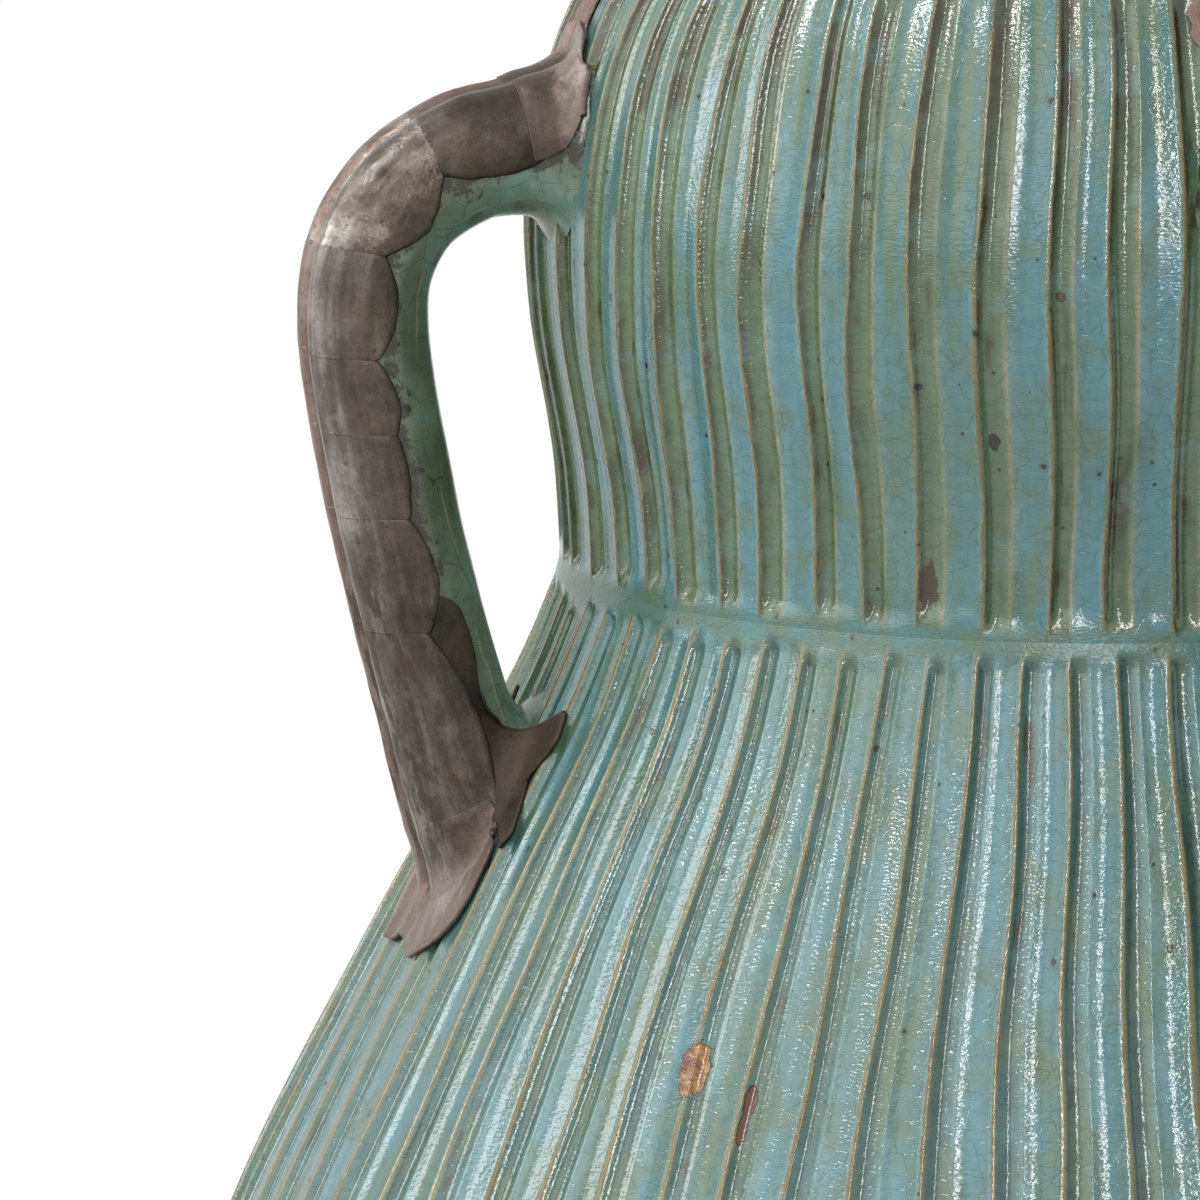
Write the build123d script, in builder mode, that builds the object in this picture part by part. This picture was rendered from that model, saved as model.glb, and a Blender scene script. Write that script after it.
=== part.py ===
# Martaban jar: a tall ribbed storage jar of glazed stoneware, thrown in sections that are luted together.
# A wide lower body carries a waisted upper bulb with a rolled mouth, and four loop handles stand a quarter turn
# apart from the top of the bulb to the shoulder. The outer half of each handle is clad in thin sheets of aged metal.
# Millimetres, +Z up, with the origin in the middle of the base on the surface that the jar stands on.

import os
from math import cos, radians, sin

from build123d import *

# Heights of the walls, each counted from the one below it
belly_height = 235.0
shoulder_rise = 305.0
bulb_rise = 76.0
crown_rise = 82.0
rim_rise = 44.0

# Radii of the walls, measured over the ribs, and how far each stretch swells or draws in from its neighbour
waist_radius = 120.9
bulb_swell = 8.1
belly_swell = 124.1
foot_inset = 99.0
mouth_radius = 84.0
collar_wall = 13.0
collar_dip = 1.5
lip_overhang = 12.0

# Thicknesses and rounded edges of the clay
wall = 9.0
floor_thickness = 16.0
lip_round = 11.0
mouth_round = 3.0
foot_chamfer = 4.0

# Ribs, combed into the wet clay from foot to waist and from waist to crown
rib_depth = 2.0
lower_ribs_per_handle = 18
upper_ribs_per_handle = 14
lower_rib_phase = 0.3
upper_rib_phase = 3.3
rib_drop_share = 0.16
band_proud = 0.3

# Loop handles: how far they reach beyond the bulb, and where they spring from above and below the waist
handle_sides = ("right", "back", "left", "front")
handle_standoff = 40.6
handle_rise = 98.5
handle_fall = 53.0
handle_half_depth = 13.7
handle_half_width = 13.4

# Metal sheets on the handles
sheet_thickness = 1.2
lap_step = 0.3
strip_half_width = 5.5
leaf_spread = 1.2
patch_spread = 10.0

# Plain foot below the ribs: share of the belly height, and share of the way from foot to belly radius
foot_level_shares = (
    (0.0, 0.0),
    (0.10, 0.197),
    (0.20, 0.361),
    (0.30, 0.507),
)

# Ribbed wall from there to the belly, in the same shares
lower_level_shares = (
    (0.30, 0.507),
    (0.45, 0.693),
    (0.60, 0.837),
    (0.74, 0.931),
    (0.87, 0.983),
)

# Ribbed wall from the belly up: share of the way from belly to waist height, and from waist to belly radius
shoulder_level_shares = (
    (0.0, 1.0),
    (0.107, 0.970),
    (0.213, 0.895),
    (0.311, 0.807),
    (0.410, 0.710),
    (0.538, 0.578),
    (0.660, 0.427),
    (0.782, 0.266),
    (0.905, 0.097),
    (0.977, 0.018),
)

# Ribbed wall of the bulb up to its widest height: share of the way up, and from waist to bulb radius
bulb_level_shares = (
    (0.07, 0.0),
    (0.276, 0.12),
    (0.421, 0.31),
    (0.566, 0.556),
    (0.71, 0.79),
    (0.855, 0.926),
    (1.0, 1.0),
)

# Ribbed wall from there to the crown: share of the way up to the collar, and from bulb to collar radius
crown_level_shares = (
    (0.134, 0.01),
    (0.268, 0.056),
    (0.402, 0.128),
    (0.537, 0.234),
    (0.67, 0.384),
    (0.80, 0.588),
)

# Plain crown between the ribs and the collar, in the same shares
collar_level_shares = (
    (0.80, 0.588),
    (0.87, 0.731),
    (0.94, 0.870),
    (1.0, 1.0),
)

# Handle centreline from its root in the bulb to its root in the shoulder: share of the standoff beyond the bulb
# radius, share of the drop above the foot height, and shares by which the section grows in depth and in width
handle_route_shares = (
    (-0.42, 1.016, 1.18, 1.20),
    (-0.06, 1.006, 1.10, 1.10),
    (0.19, 0.997, 1.05, 1.02),
    (0.448, 0.982, 1.02, 1.0),
    (0.779, 0.926, 1.0, 1.0),
    (0.960, 0.840, 1.0, 1.0),
    (1.0, 0.746, 1.0, 1.0),
    (0.953, 0.634, 1.0, 1.0),
    (0.826, 0.455, 1.0, 1.0),
    (0.703, 0.317, 1.0, 1.0),
    (0.559, 0.172, 1.03, 1.04),
    (0.400, 0.033, 1.10, 1.16),
    (0.200, -0.080, 1.18, 1.26),
    (0.0, -0.180, 1.20, 1.30),
)

# Handle section, one half: shares of its half depth outward and of its half width sideways. The outer face has a
# shallow valley down its middle, so that it reads as two rolls of clay side by side
handle_section_shares = (
    (0.90, 0.0),
    (1.0, 0.42),
    (0.72, 0.80),
    (0.10, 1.0),
    (-0.62, 0.74),
    (-1.0, 0.0),
)

# Seams between the sheets that wrap the handle, from the bulb down: name of the sheet that starts there, the
# seam's outer end, its inner end on the handle's flank, and the middle of the sheet's scalloped inner edge, all as
# shares of the standoff and of the drop
wrap_seam_shares = (
    ("arch_sheet", (0.10, 1.20), (0.08, 0.989), (0.39, 0.972)),
    ("bend_sheet", (0.84, 1.12), (0.665, 0.969), (0.75, 0.894)),
    ("grip_sheet_1", (1.55, 0.862), (0.985, 0.854), (0.944, 0.772)),
    ("grip_sheet_2", (1.55, 0.722), (1.020, 0.701), (0.915, 0.640)),
    ("grip_sheet_3", (1.50, 0.606), (0.924, 0.591), (0.842, 0.515)),
    ("grip_sheet_4", (1.45, 0.484), (0.847, 0.465), (0.700, 0.370)),
    ("foot_sheet", (1.35, 0.310), (0.736, 0.292), (0.500, 0.178)),
)
wrap_end_shares = ((0.95, -0.010), (0.430, 0.020))

# Rest of the outlines on the handle's flank, as shares of the standoff and of the drop. The leaf above the handle
# wraps its root up to the arch sheet's seam, and the leaf below wraps it from the foot sheet's end. The dark patch
# runs from the foot sheet's end through the wall and up its own ragged edge to the lowest grip sheet
top_root_shares = (
    (-0.45, 0.989),
    (-0.45, 1.200),
)
foot_root_shares = (
    (0.95, -0.350),
    (-0.20, -0.350),
    (-0.20, 0.020),
)
patch_flank_shares = (
    (-0.20, 0.020),
    (-0.20, 0.160),
    (0.25, 0.135),
    (0.41, 0.162),
    (0.45, 0.211),
    (0.51, 0.290),
)

# Outlines on the wall, one half: shares of the patch's half width, and of the drop above the handle's foot
patch_outline_shares = (
    (0.0, 0.160),
    (0.77, 0.176),
    (0.91, 0.139),
    (0.79, 0.083),
    (0.91, 0.040),
    (1.0, 0.005),
    (0.92, -0.022),
    (0.80, -0.036),
    (0.0, -0.036),
)
foot_leaf_outline_shares = (
    (0.0, -0.036),
    (0.80, -0.036),
    (0.85, -0.097),
    (0.75, -0.149),
    (0.50, -0.178),
    (0.25, -0.197),
    (0.0, -0.185),
)

# Outline of the strip above the leaf, one half: share of its half width, and of the drop above the handle's foot
top_strip_outline_shares = (
    (0.0, 1.178),
    (1.0, 1.178),
    (0.8, 1.250),
    (0.7, 1.275),
    (0.0, 1.285),
)

# Outline of the leaf on the bulb, one half: share of its half width, and of the drop above the handle's foot
top_leaf_outline_shares = (
    (0.0, 0.950),
    (0.35, 0.975),
    (0.85, 1.010),
    (1.0, 1.053),
    (0.85, 1.110),
    (0.55, 1.150),
    (0.42, 1.178),
    (0.0, 1.178),
)

# Derived sizes
waist_height = belly_height + shoulder_rise
bulb_height = waist_height + bulb_rise
bulb_top_height = bulb_height + crown_rise
jar_height = bulb_top_height + rim_rise
bulb_radius = waist_radius + bulb_swell
belly_radius = waist_radius + belly_swell
foot_radius = belly_radius - foot_inset
collar_radius = mouth_radius + collar_wall
lip_radius = collar_radius + lip_overhang
shell = wall + rib_depth
lower_rib_count = lower_ribs_per_handle * len(handle_sides)
upper_rib_count = upper_ribs_per_handle * len(handle_sides)
handle_turn = 360 / len(handle_sides)
handle_foot_height = waist_height - handle_fall
handle_drop = handle_rise + handle_fall
across_handle = 2 * handle_half_width
leaf_half_width = handle_half_width + leaf_spread
patch_half_width = handle_half_width + patch_spread


def between(start, end, share):
    """Return the value a share of the way from start to end."""
    return start + share * (end - start)


def levels(bottom, top, start_radius, end_radius, level_shares):
    """List the radius and height of each level of one stretch of the wall."""
    return [
        (between(start_radius, end_radius, radius_share), between(bottom, top, height_share))
        for height_share, radius_share in level_shares
    ]


def rib_ring(radius, count, phase):
    """Return the corners of one ribbed level: each rib rises slowly to its crest and drops off steeply behind it."""
    corners = []
    groove_radius = radius - rib_depth
    for rib in range(count):
        crest_angle = radians(360 * rib / count + phase)
        groove_angle = radians(360 * (rib + rib_drop_share) / count + phase)
        corners.append((radius * cos(crest_angle), radius * sin(crest_angle)))
        corners.append((groove_radius * cos(groove_angle), groove_radius * sin(groove_angle)))
    return corners


def plain_ring(outline):
    """Revolve a plain stretch of the wall, solid to the axis, standing a little proud of the ribs."""
    points = [(radius + band_proud, height) for radius, height in outline]
    with BuildPart() as ring:
        with BuildSketch(Plane.XZ):
            with BuildLine():
                Spline(*points)
                Polyline(points[-1], (0, points[-1][1]), (0, points[0][1]), points[0])
            make_face()
        revolve(axis=Axis.Z)
    return ring.part


def ribbed_blank(ribbed, plain_stretches, count, phase):
    """Loft a solid ribbed wall through its levels, and join the plain stretches below and above it."""
    with BuildPart() as blank:
        for radius, height in ribbed:
            with BuildSketch(Plane.XY.offset(height)):
                with BuildLine():
                    Polyline(*rib_ring(radius, count, phase), close=True)
                make_face()
        loft()
        for outline in plain_stretches:
            add(plain_ring(outline))
    return blank.part


def handle_point(reach_share, drop_share):
    """Return a point in the handle's own plane: distance from the jar's axis, and height."""
    return (bulb_radius + reach_share * handle_standoff, handle_foot_height + drop_share * handle_drop)


def handle_solid(extra):
    """Loft the loop handle, with extra clay or metal all round its section."""
    route = [handle_point(reach, drop) for reach, drop, deep, wide in handle_route_shares]
    with BuildPart() as loop:
        for index, (reach, drop, deep, wide) in enumerate(handle_route_shares):
            before = Vector(*route[max(index - 1, 0)])
            after = Vector(*route[min(index + 1, len(route) - 1)])
            run = (after - before).normalized()
            outward = Vector(-run.Y, 0, run.X)
            here = Plane(
                origin=(route[index][0], 0, route[index][1]),
                x_dir=outward,
                z_dir=(run.X, 0, run.Y),
            )
            half_depth = handle_half_depth * deep + extra
            half_width = handle_half_width * wide + extra
            half = [(half_depth * u, half_width * v) for u, v in handle_section_shares]
            mirrored = [(u, -v) for u, v in reversed(half[1:-1])]
            with BuildSketch(here):
                with BuildLine():
                    Spline(*half, *mirrored, periodic=True)
                make_face()
        loft()
    return loop.part


def wall_outline(half_outline, half_width):
    """Extrude an outline that is drawn on the wall above or below a handle, straight out from the axis."""
    one_side = [(half_width * w, handle_foot_height + drop * handle_drop) for w, drop in half_outline]
    other_side = [(-w, height) for w, height in reversed(one_side[1:-1])]
    with BuildPart() as block:
        with BuildSketch(Plane.YZ):
            with BuildLine():
                Polyline(*one_side, *other_side, close=True)
            make_face()
        extrude(amount=belly_radius)
    return block.part


def wall_skin(outline):
    """Revolve the space that a sheet lying over the ribs can fill: the wall's outline and the sheet's thickness."""
    points = [(radius + sheet_thickness, height) for radius, height in outline]
    with BuildPart() as skin:
        with BuildSketch(Plane.XZ):
            with BuildLine():
                Spline(*points)
                Polyline(points[-1], (0, points[-1][1]), (0, points[0][1]), points[0])
            make_face()
        revolve(axis=Axis.Z)
    return skin.part


pieces = {}

# Lower body: the wide base section, thrown with its floor, ribbed outside and smooth inside
foot_outline = levels(0, belly_height, foot_radius, belly_radius, foot_level_shares)
lower_outline = levels(0, belly_height, foot_radius, belly_radius, lower_level_shares)
shoulder_outline = levels(belly_height, waist_height, waist_radius, belly_radius, shoulder_level_shares)
lower_band = [shoulder_outline[-1], (waist_radius, waist_height)]
lower_ribbed = lower_outline + shoulder_outline
lower_blank = ribbed_blank(lower_ribbed, (foot_outline, lower_band), lower_rib_count, lower_rib_phase)
waist_inside = (waist_radius - shell, waist_height)
floor_edge = (foot_radius - shell, floor_thickness)
lower_inside = [(radius - shell, height) for radius, height in foot_outline[1:] + lower_ribbed[1:]]
with BuildPart() as lower_body:
    add(lower_blank)
    with BuildSketch(Plane.XZ):
        with BuildLine():
            Spline(floor_edge, *lower_inside, waist_inside)
            Polyline(waist_inside, (0, waist_height), (0, floor_thickness), floor_edge)
        make_face()
    revolve(axis=Axis.Z, mode=Mode.SUBTRACT)
    chamfer(lower_body.edges().group_by(Axis.Z)[0], length=foot_chamfer)
pieces["lower_body"] = lower_body.part

# Neck bulb: the upper section, luted to the lower body at the smooth band round the waist
bulb_outline = levels(waist_height, bulb_height, waist_radius, bulb_radius, bulb_level_shares)
crown_outline = levels(bulb_height, bulb_top_height, bulb_radius, collar_radius, crown_level_shares)
collar_outline = levels(bulb_height, bulb_top_height, bulb_radius, collar_radius, collar_level_shares)
upper_band = [(waist_radius, waist_height), bulb_outline[0]]
upper_ribbed = bulb_outline + crown_outline
bulb_blank = ribbed_blank(upper_ribbed, (upper_band, collar_outline), upper_rib_count, upper_rib_phase)
bulb_inside = [(radius - shell, height) for radius, height in bulb_outline + crown_outline]
with BuildPart() as neck_bulb:
    add(bulb_blank)
    with BuildSketch(Plane.XZ):
        with BuildLine():
            Spline(waist_inside, *bulb_inside, (mouth_radius, bulb_top_height))
            Polyline((mouth_radius, bulb_top_height), (0, bulb_top_height), (0, waist_height), waist_inside)
        make_face()
    revolve(axis=Axis.Z, mode=Mode.SUBTRACT)
pieces["neck_bulb"] = neck_bulb.part

# Mouth rim: a short collar with a rolled lip round a straight bore
lip_bottom = jar_height - 2 * lip_round
lip_centre_radius = lip_radius - lip_round
collar_waist = (collar_radius - collar_dip, (bulb_top_height + lip_bottom) / 2)
with BuildPart() as mouth_rim:
    with BuildSketch(Plane.XZ):
        with BuildLine():
            ThreePointArc((collar_radius, bulb_top_height), collar_waist, (lip_centre_radius, lip_bottom))
            ThreePointArc(
                (lip_centre_radius, lip_bottom),
                (lip_radius, jar_height - lip_round),
                (lip_centre_radius, jar_height),
            )
            Polyline(
                (lip_centre_radius, jar_height),
                (mouth_radius, jar_height),
                (mouth_radius, bulb_top_height),
                (collar_radius, bulb_top_height),
            )
        make_face()
    revolve(axis=Axis.Z)
    mouth_edges = mouth_rim.edges().filter_by(GeomType.CIRCLE).group_by(Axis.Z)[-1]
    fillet(mouth_edges.sort_by(SortBy.RADIUS)[0], radius=mouth_round)
pieces["mouth_rim"] = mouth_rim.part

# One loop handle on the +X side, cut back to the ribbed walls that it is luted to
handle_blank = handle_solid(0)
with BuildPart() as loop_handle:
    add(handle_blank)
    add(lower_blank, mode=Mode.SUBTRACT)
    add(bulb_blank, mode=Mode.SUBTRACT)
handle_set = {"handle": loop_handle.part}


def flank_sheet(sleeve, start, scallop, end, rest):
    """Cut a sheet out of a sleeve: a scalloped inner edge from start to end, and the rest of its outline."""
    with BuildPart() as sheet:
        add(sleeve)
        with BuildSketch(Plane.XZ):
            with BuildLine():
                ThreePointArc(handle_point(*start), handle_point(*scallop), handle_point(*end))
                Polyline(*[handle_point(*point) for point in (end, *rest, start)])
            make_face()
        extrude(amount=across_handle, both=True, mode=Mode.INTERSECT)
        add(handle_blank, mode=Mode.SUBTRACT)
        add(lower_blank, mode=Mode.SUBTRACT)
        add(bulb_blank, mode=Mode.SUBTRACT)
    return sheet.part


def root_sheet(sleeve, outline):
    """Cut the part of a wall sheet that wraps the root of the handle out of a sleeve."""
    with BuildPart() as sheet:
        add(sleeve)
        with BuildSketch(Plane.XZ):
            with BuildLine():
                Polyline(*[handle_point(*point) for point in outline], close=True)
            make_face()
        extrude(amount=across_handle, both=True, mode=Mode.INTERSECT)
        add(handle_blank, mode=Mode.SUBTRACT)
        add(lower_blank, mode=Mode.SUBTRACT)
        add(bulb_blank, mode=Mode.SUBTRACT)
    return sheet.part


def wall_sheet(skin, wall_blank, sleeve, half_outline, half_width):
    """Cut a sheet that lies on the ribs of the wall, up to the sleeve round the handle's root."""
    with BuildPart() as sheet:
        add(wall_outline(half_outline, half_width))
        add(skin, mode=Mode.INTERSECT)
        add(wall_blank, mode=Mode.SUBTRACT)
        add(sleeve, mode=Mode.SUBTRACT)
    return sheet.part


# The sheets that wrap the handle's outer half, each from its own seam to the next one. Neighbours differ a little
# in thickness, as sheets that were beaten over each other do
thin_sleeve = handle_solid(sheet_thickness)
thick_sleeve = handle_solid(sheet_thickness + lap_step)
seam_ends = [seam[1:3] for seam in wrap_seam_shares] + [wrap_end_shares]
for index, (sheet_name, outer_end, inner_end, scallop) in enumerate(wrap_seam_shares):
    next_outer, next_inner = seam_ends[index + 1]
    sleeve = thick_sleeve if index % 2 else thin_sleeve
    handle_set[sheet_name] = flank_sheet(sleeve, inner_end, scallop, next_inner, (next_outer, outer_end))

# The sheets that lie on the wall over the ribs: a strip and a leaf above the handle, and a leaf below it. The
# leaves wrap the handle's roots too, where the sheets of the handle end
upper_skin = wall_skin(upper_ribbed)
lower_skin = wall_skin(lower_ribbed)
arch_outer, arch_inner = seam_ends[0]
foot_outer, foot_inner = seam_ends[-1]
with BuildPart() as top_strip:
    add(wall_sheet(upper_skin, bulb_blank, thick_sleeve, top_strip_outline_shares, strip_half_width))
with BuildPart() as top_leaf:
    add(wall_sheet(upper_skin, bulb_blank, thick_sleeve, top_leaf_outline_shares, leaf_half_width))
    add(root_sheet(thick_sleeve, (arch_outer, arch_inner, *top_root_shares)))
with BuildPart() as foot_leaf:
    add(wall_sheet(lower_skin, lower_blank, thin_sleeve, foot_leaf_outline_shares, patch_half_width))
    add(root_sheet(thin_sleeve, (foot_inner, foot_outer, *foot_root_shares)))
handle_set["top_strip"] = top_strip.part
handle_set["top_leaf"] = top_leaf.part
handle_set["foot_leaf"] = foot_leaf.part

# The dark patch at the handle's foot: it fills the inner flank behind the foot sheet and spreads on to the wall
foot_scallop = wrap_seam_shares[-1][3]
with BuildPart() as root_patch:
    add(flank_sheet(thin_sleeve, wrap_seam_shares[-1][2], foot_scallop, foot_inner, patch_flank_shares))
    add(wall_sheet(lower_skin, lower_blank, thin_sleeve, patch_outline_shares, patch_half_width))
handle_set["root_patch"] = root_patch.part

# The same set stands on each side, because every quarter of the walls has the same ribs
for index, side in enumerate(handle_sides):
    for piece_name, piece in handle_set.items():
        pieces[side + "_" + piece_name] = piece.rotate(Axis.Z, index * handle_turn)

os.makedirs("parts", exist_ok=True)
for name, piece in pieces.items():
    piece.label = name
    export_step(piece, "parts/" + name + ".step")
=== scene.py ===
# %% [markdown]
# # Dressing a martaban jar
#
# The real object is a tall storage jar of stoneware. It was thrown in sections, combed into ribs while the clay was
# wet, dipped in a turquoise crackle glaze and fitted with loop handles, which later got a cladding of thin metal
# sheets. The solids of the jar come ready from the packed model. This lesson gives them their looks: walls with
# hand-combed ribs, a glaze that is thin and tan on the crests and pooled and green in the grooves, and beaten metal.

import math
import random

import bmesh
import bpy
import numpy as np
from mathutils import Matrix, Vector, noise


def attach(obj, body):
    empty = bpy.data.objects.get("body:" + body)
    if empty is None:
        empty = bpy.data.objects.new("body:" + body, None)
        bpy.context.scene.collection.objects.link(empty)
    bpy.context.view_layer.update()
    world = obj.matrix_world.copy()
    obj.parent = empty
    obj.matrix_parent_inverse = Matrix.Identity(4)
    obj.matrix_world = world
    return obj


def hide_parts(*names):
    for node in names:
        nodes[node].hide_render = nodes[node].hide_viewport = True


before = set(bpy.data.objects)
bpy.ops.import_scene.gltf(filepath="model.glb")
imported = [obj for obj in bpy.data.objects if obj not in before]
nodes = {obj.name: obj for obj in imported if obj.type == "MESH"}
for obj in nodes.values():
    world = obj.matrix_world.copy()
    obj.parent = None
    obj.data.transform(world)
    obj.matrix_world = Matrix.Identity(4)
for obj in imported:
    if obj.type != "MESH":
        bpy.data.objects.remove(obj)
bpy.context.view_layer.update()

# %% [markdown]
# ## Sizes and small helpers
#
# A maker measures a jar in millimetres, and Blender counts in metres. The walls are drawn as a few points, height
# and radius over the crests of the ribs, and a smooth line through them gives the radius at any height. A curve
# object could do the same, but a table of points is easier to compare with the solids.

# %% Sizes of the walls
MM = 0.001
LOWER_WALL = (
    (0, 146.0), (23.5, 165.5), (47, 181.7), (70.5, 196.2), (105.8, 214.6), (141, 228.9), (173.9, 238.2),
    (204.5, 243.3), (235, 245.0), (267.6, 241.3), (300, 232.0), (329.9, 221.0), (360.1, 209.0), (399.1, 192.6),
    (436.3, 173.9), (473.5, 153.9), (511, 132.9), (533, 123.1), (540, 120.9),
)
UPPER_WALL = (
    (540, 120.9), (545.3, 120.9), (561, 121.9), (572, 123.4), (583, 125.4), (594, 127.3), (605, 128.4), (616, 129.0),
    (627, 128.7), (638, 127.2), (649, 124.9), (660, 121.5), (670.9, 116.7), (681.6, 110.2), (687.3, 105.6),
    (693.1, 101.2), (698, 97.0),
)
WAIST = 540  # where the lower body ends and the bulb begins
BULB_TOP = 698
SHELL = 11  # the wall with its ribs
FOOT_ROUND = 4
FLOOR = 16
MOUTH = 84  # the radius of the hole under the rim


def smooth_line(points, count=400):
    """Return many points on a smooth line through a few, by the rule that a spline passes through each of them."""
    points = np.array(points, float)
    padded = np.vstack([2 * points[0] - points[1], points, 2 * points[-1] - points[-2]])
    where = np.linspace(0, len(points) - 1, count)
    first = np.minimum(where.astype(int), len(points) - 2)
    t = (where - first)[:, None]
    a, b, c, d = (padded[first + k] for k in range(4))
    return 0.5 * (2 * b + (c - a) * t + (2 * a - 5 * b + 4 * c - d) * t**2 + (3 * b - a - 3 * c + d) * t**3)


def radius_at(wall, heights):
    """Read the wall's radius over the crests at some heights."""
    line = smooth_line(wall)
    return np.interp(heights, line[:, 0], line[:, 1])


print("radius at 300 mm and 600 mm:", radius_at(LOWER_WALL, 300), radius_at(UPPER_WALL, 600))


# %% [markdown]
# ## A workbench for finishes
#
# Each finish is a material made of nodes. They could be wired by hand in the editor, but a small class is easier to
# read and to change: every call adds one node and hands back its output, so a finish reads like a recipe. Colours
# are written as a painter would mix them on a screen, from 0 to 255, and turned into the linear values that the
# shader wants.

# %% The bench and its nodes
class Bench:
    """A tree of nodes under construction. A value is a number, a colour or the output of another node."""

    def __init__(self, tree):
        self.tree = tree

    def join(self, socket, value):
        """Link an output to a socket, or set the socket to a constant."""
        if isinstance(value, bpy.types.NodeSocket):
            self.tree.links.new(value, socket)
        else:
            socket.default_value = value

    def add(self, kind, values=(), output=0, **settings):
        """Add a node, with its values in the order of its sockets or by their names."""
        node = self.tree.nodes.new(kind)
        for key, value in settings.items():
            setattr(node, key, value)
        for socket, value in values.items() if isinstance(values, dict) else enumerate(values):
            self.join(node.inputs[socket], value)
        return node.outputs[output]

    def place(self):
        """The object's own coordinates, in metres."""
        return self.add("ShaderNodeTexCoord", output=3)

    def attribute(self, name):
        return self.add("ShaderNodeAttribute", output=2, attribute_name=name)

    def vector(self, x, y, z=0.0):
        return self.add("ShaderNodeCombineXYZ", (x, y, z))

    def axis(self, vector, number):
        return self.add("ShaderNodeSeparateXYZ", (vector,), output=number)

    def squeezed(self, where, factors):
        """Coordinates squeezed along some axes, which draws a pattern out along them."""
        return self.add("ShaderNodeVectorMath", (where, factors), operation="MULTIPLY")

    def math(self, operation, *values):
        return self.add("ShaderNodeMath", values, operation=operation)

    def times(self, first, second):
        return self.math("MULTIPLY", first, second)

    def scaled(self, value, factor, start):
        """A value times a factor, on top of a start."""
        return self.math("MULTIPLY_ADD", value, factor, start)

    def shaken(self, value, by, amount):
        """A value moved up and down by a noise, by half an amount each way."""
        return self.math("ADD", value, self.scaled(by, amount, -amount / 2))

    def off(self, value, centre):
        """How far a value lies from a centre."""
        return self.math("ABSOLUTE", self.math("SUBTRACT", value, centre))

    def step(self, value, low, high):
        """Rise smoothly from 0 at low to 1 at high, or fall where high is the smaller."""
        return self.add("ShaderNodeMapRange", (value, low, high), interpolation_type="SMOOTHSTEP")

    def noise(self, where, size, detail=2.0, rough=0.5, twist=0.0, output=0):
        values = {"Vector": where, "Scale": 1 / size, "Detail": detail, "Roughness": rough, "Distortion": twist}
        return self.add("ShaderNodeTexNoise", values, output)

    def net(self, where, size, uneven=1.0, dimensions="3D"):
        """How far a point lies from the lines of a net of cells."""
        values = {"Vector": where, "Scale": 1 / size, "Randomness": uneven}
        return self.add("ShaderNodeTexVoronoi", values, feature="DISTANCE_TO_EDGE", voronoi_dimensions=dimensions)


print("the bench has", sum(callable(tool) for tool in vars(Bench).values()), "tools")


# %% The finish class
def paint(red, green, blue):
    """Turn a colour from 0 to 255 into the linear one that shaders use."""
    linear = [(c / 255 / 12.92) if c < 11 else ((c / 255 + 0.055) / 1.055) ** 2.4 for c in (red, green, blue)]
    return (*linear, 1.0)


class Finish(Bench):
    """A material under construction."""

    def __init__(self, name, ior=1.6):
        self.material = bpy.data.materials.new(name)
        self.material.use_nodes = True
        super().__init__(self.material.node_tree)
        self.shader = self.tree.nodes["Principled BSDF"]
        self.give("IOR", ior)

    def give(self, socket, value):
        self.join(self.shader.inputs[socket], value)

    def mix(self, share, first, second, blend="MIX"):
        values = {0: share, 6: first, 7: second}
        return self.add("ShaderNodeMix", values, output=2, data_type="RGBA", blend_type=blend)

    def tint(self, colour, where, strength, other):
        """Lay another colour over some places."""
        return self.mix(self.times(where, strength), colour, other)

    def shaded(self, colour, shade):
        """Darken or lighten a colour by a shade, where 1 leaves it as it is."""
        return self.mix(1.0, colour, self.vector(shade, shade, shade), blend="MULTIPLY")

    def ramp(self, value, stops):
        """Colours along a line from 0 to 1."""
        node = self.tree.nodes.new("ShaderNodeValToRGB")
        elements = node.color_ramp.elements
        while len(elements) < len(stops):
            elements.new(0.5)
        for element, (place, colour) in zip(elements, stops):
            element.position = place
            element.color = colour
        self.join(node.inputs[0], value)
        return node.outputs[0]

    def relief(self, *layers):
        """Add up layers of relief, each a value and its height in millimetres."""
        total = self.times(*layers[0])
        for value, height in layers[1:]:
            total = self.scaled(value, height, total)
        return total

    def bump(self, relief):
        """Let a relief in millimetres stand on the surface."""
        self.give("Normal", self.add("ShaderNodeBump", {"Strength": 1.0, "Distance": MM, "Height": relief}))


print("a mid grey of 128 is", round(paint(128, 128, 128)[0], 3), "in linear light")

# %% [markdown]
# ## The walls: spun, then combed
#
# A potter throws a wall and then draws a comb up it. Here a profile is spun round the axis in the same way, with
# twelve columns of points to each rib, and the points are then moved in or out by the rib's own section: a sharp
# crest, a steep drop into the groove, a low second ridge and a slow rise to the next crest. No two ribs are alike,
# so each one wanders a little and stops at its own height at the plain band round the waist.

# %% The section of a rib
RIB_SECTION = (
    (0.0, 1.0), (0.03, 0.90), (0.07, 0.52), (0.12, 0.14), (0.18, 0.0), (0.26, 0.05),
    (0.34, 0.28), (0.40, 0.49), (0.44, 0.53), (0.50, 0.34), (0.74, 0.58), (0.92, 0.90),
)
COLUMNS = len(RIB_SECTION)
RIB_PLACE, RIB_HEIGHT = np.array(RIB_SECTION).T
RIB_DEPTH = 2.0

# Ribs stand up to DRIFT from an even spacing and wander by WANDER, both in shares of their pitch. The wandering
# repeats after WANDER_LENGTH millimetres, and a rib's depth is RIB_DEPTH times a number in DEPTH_SHARE.
DRIFT = 0.13
WANDER = 0.045
WANDER_LENGTH = (60, 110)
DEPTH_SHARE = (0.85, 1.1)
# How much further a rib may run on at either end, and how long it takes to fade, in millimetres
RAGGED_END = 3
END_FADE = 4.5
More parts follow.
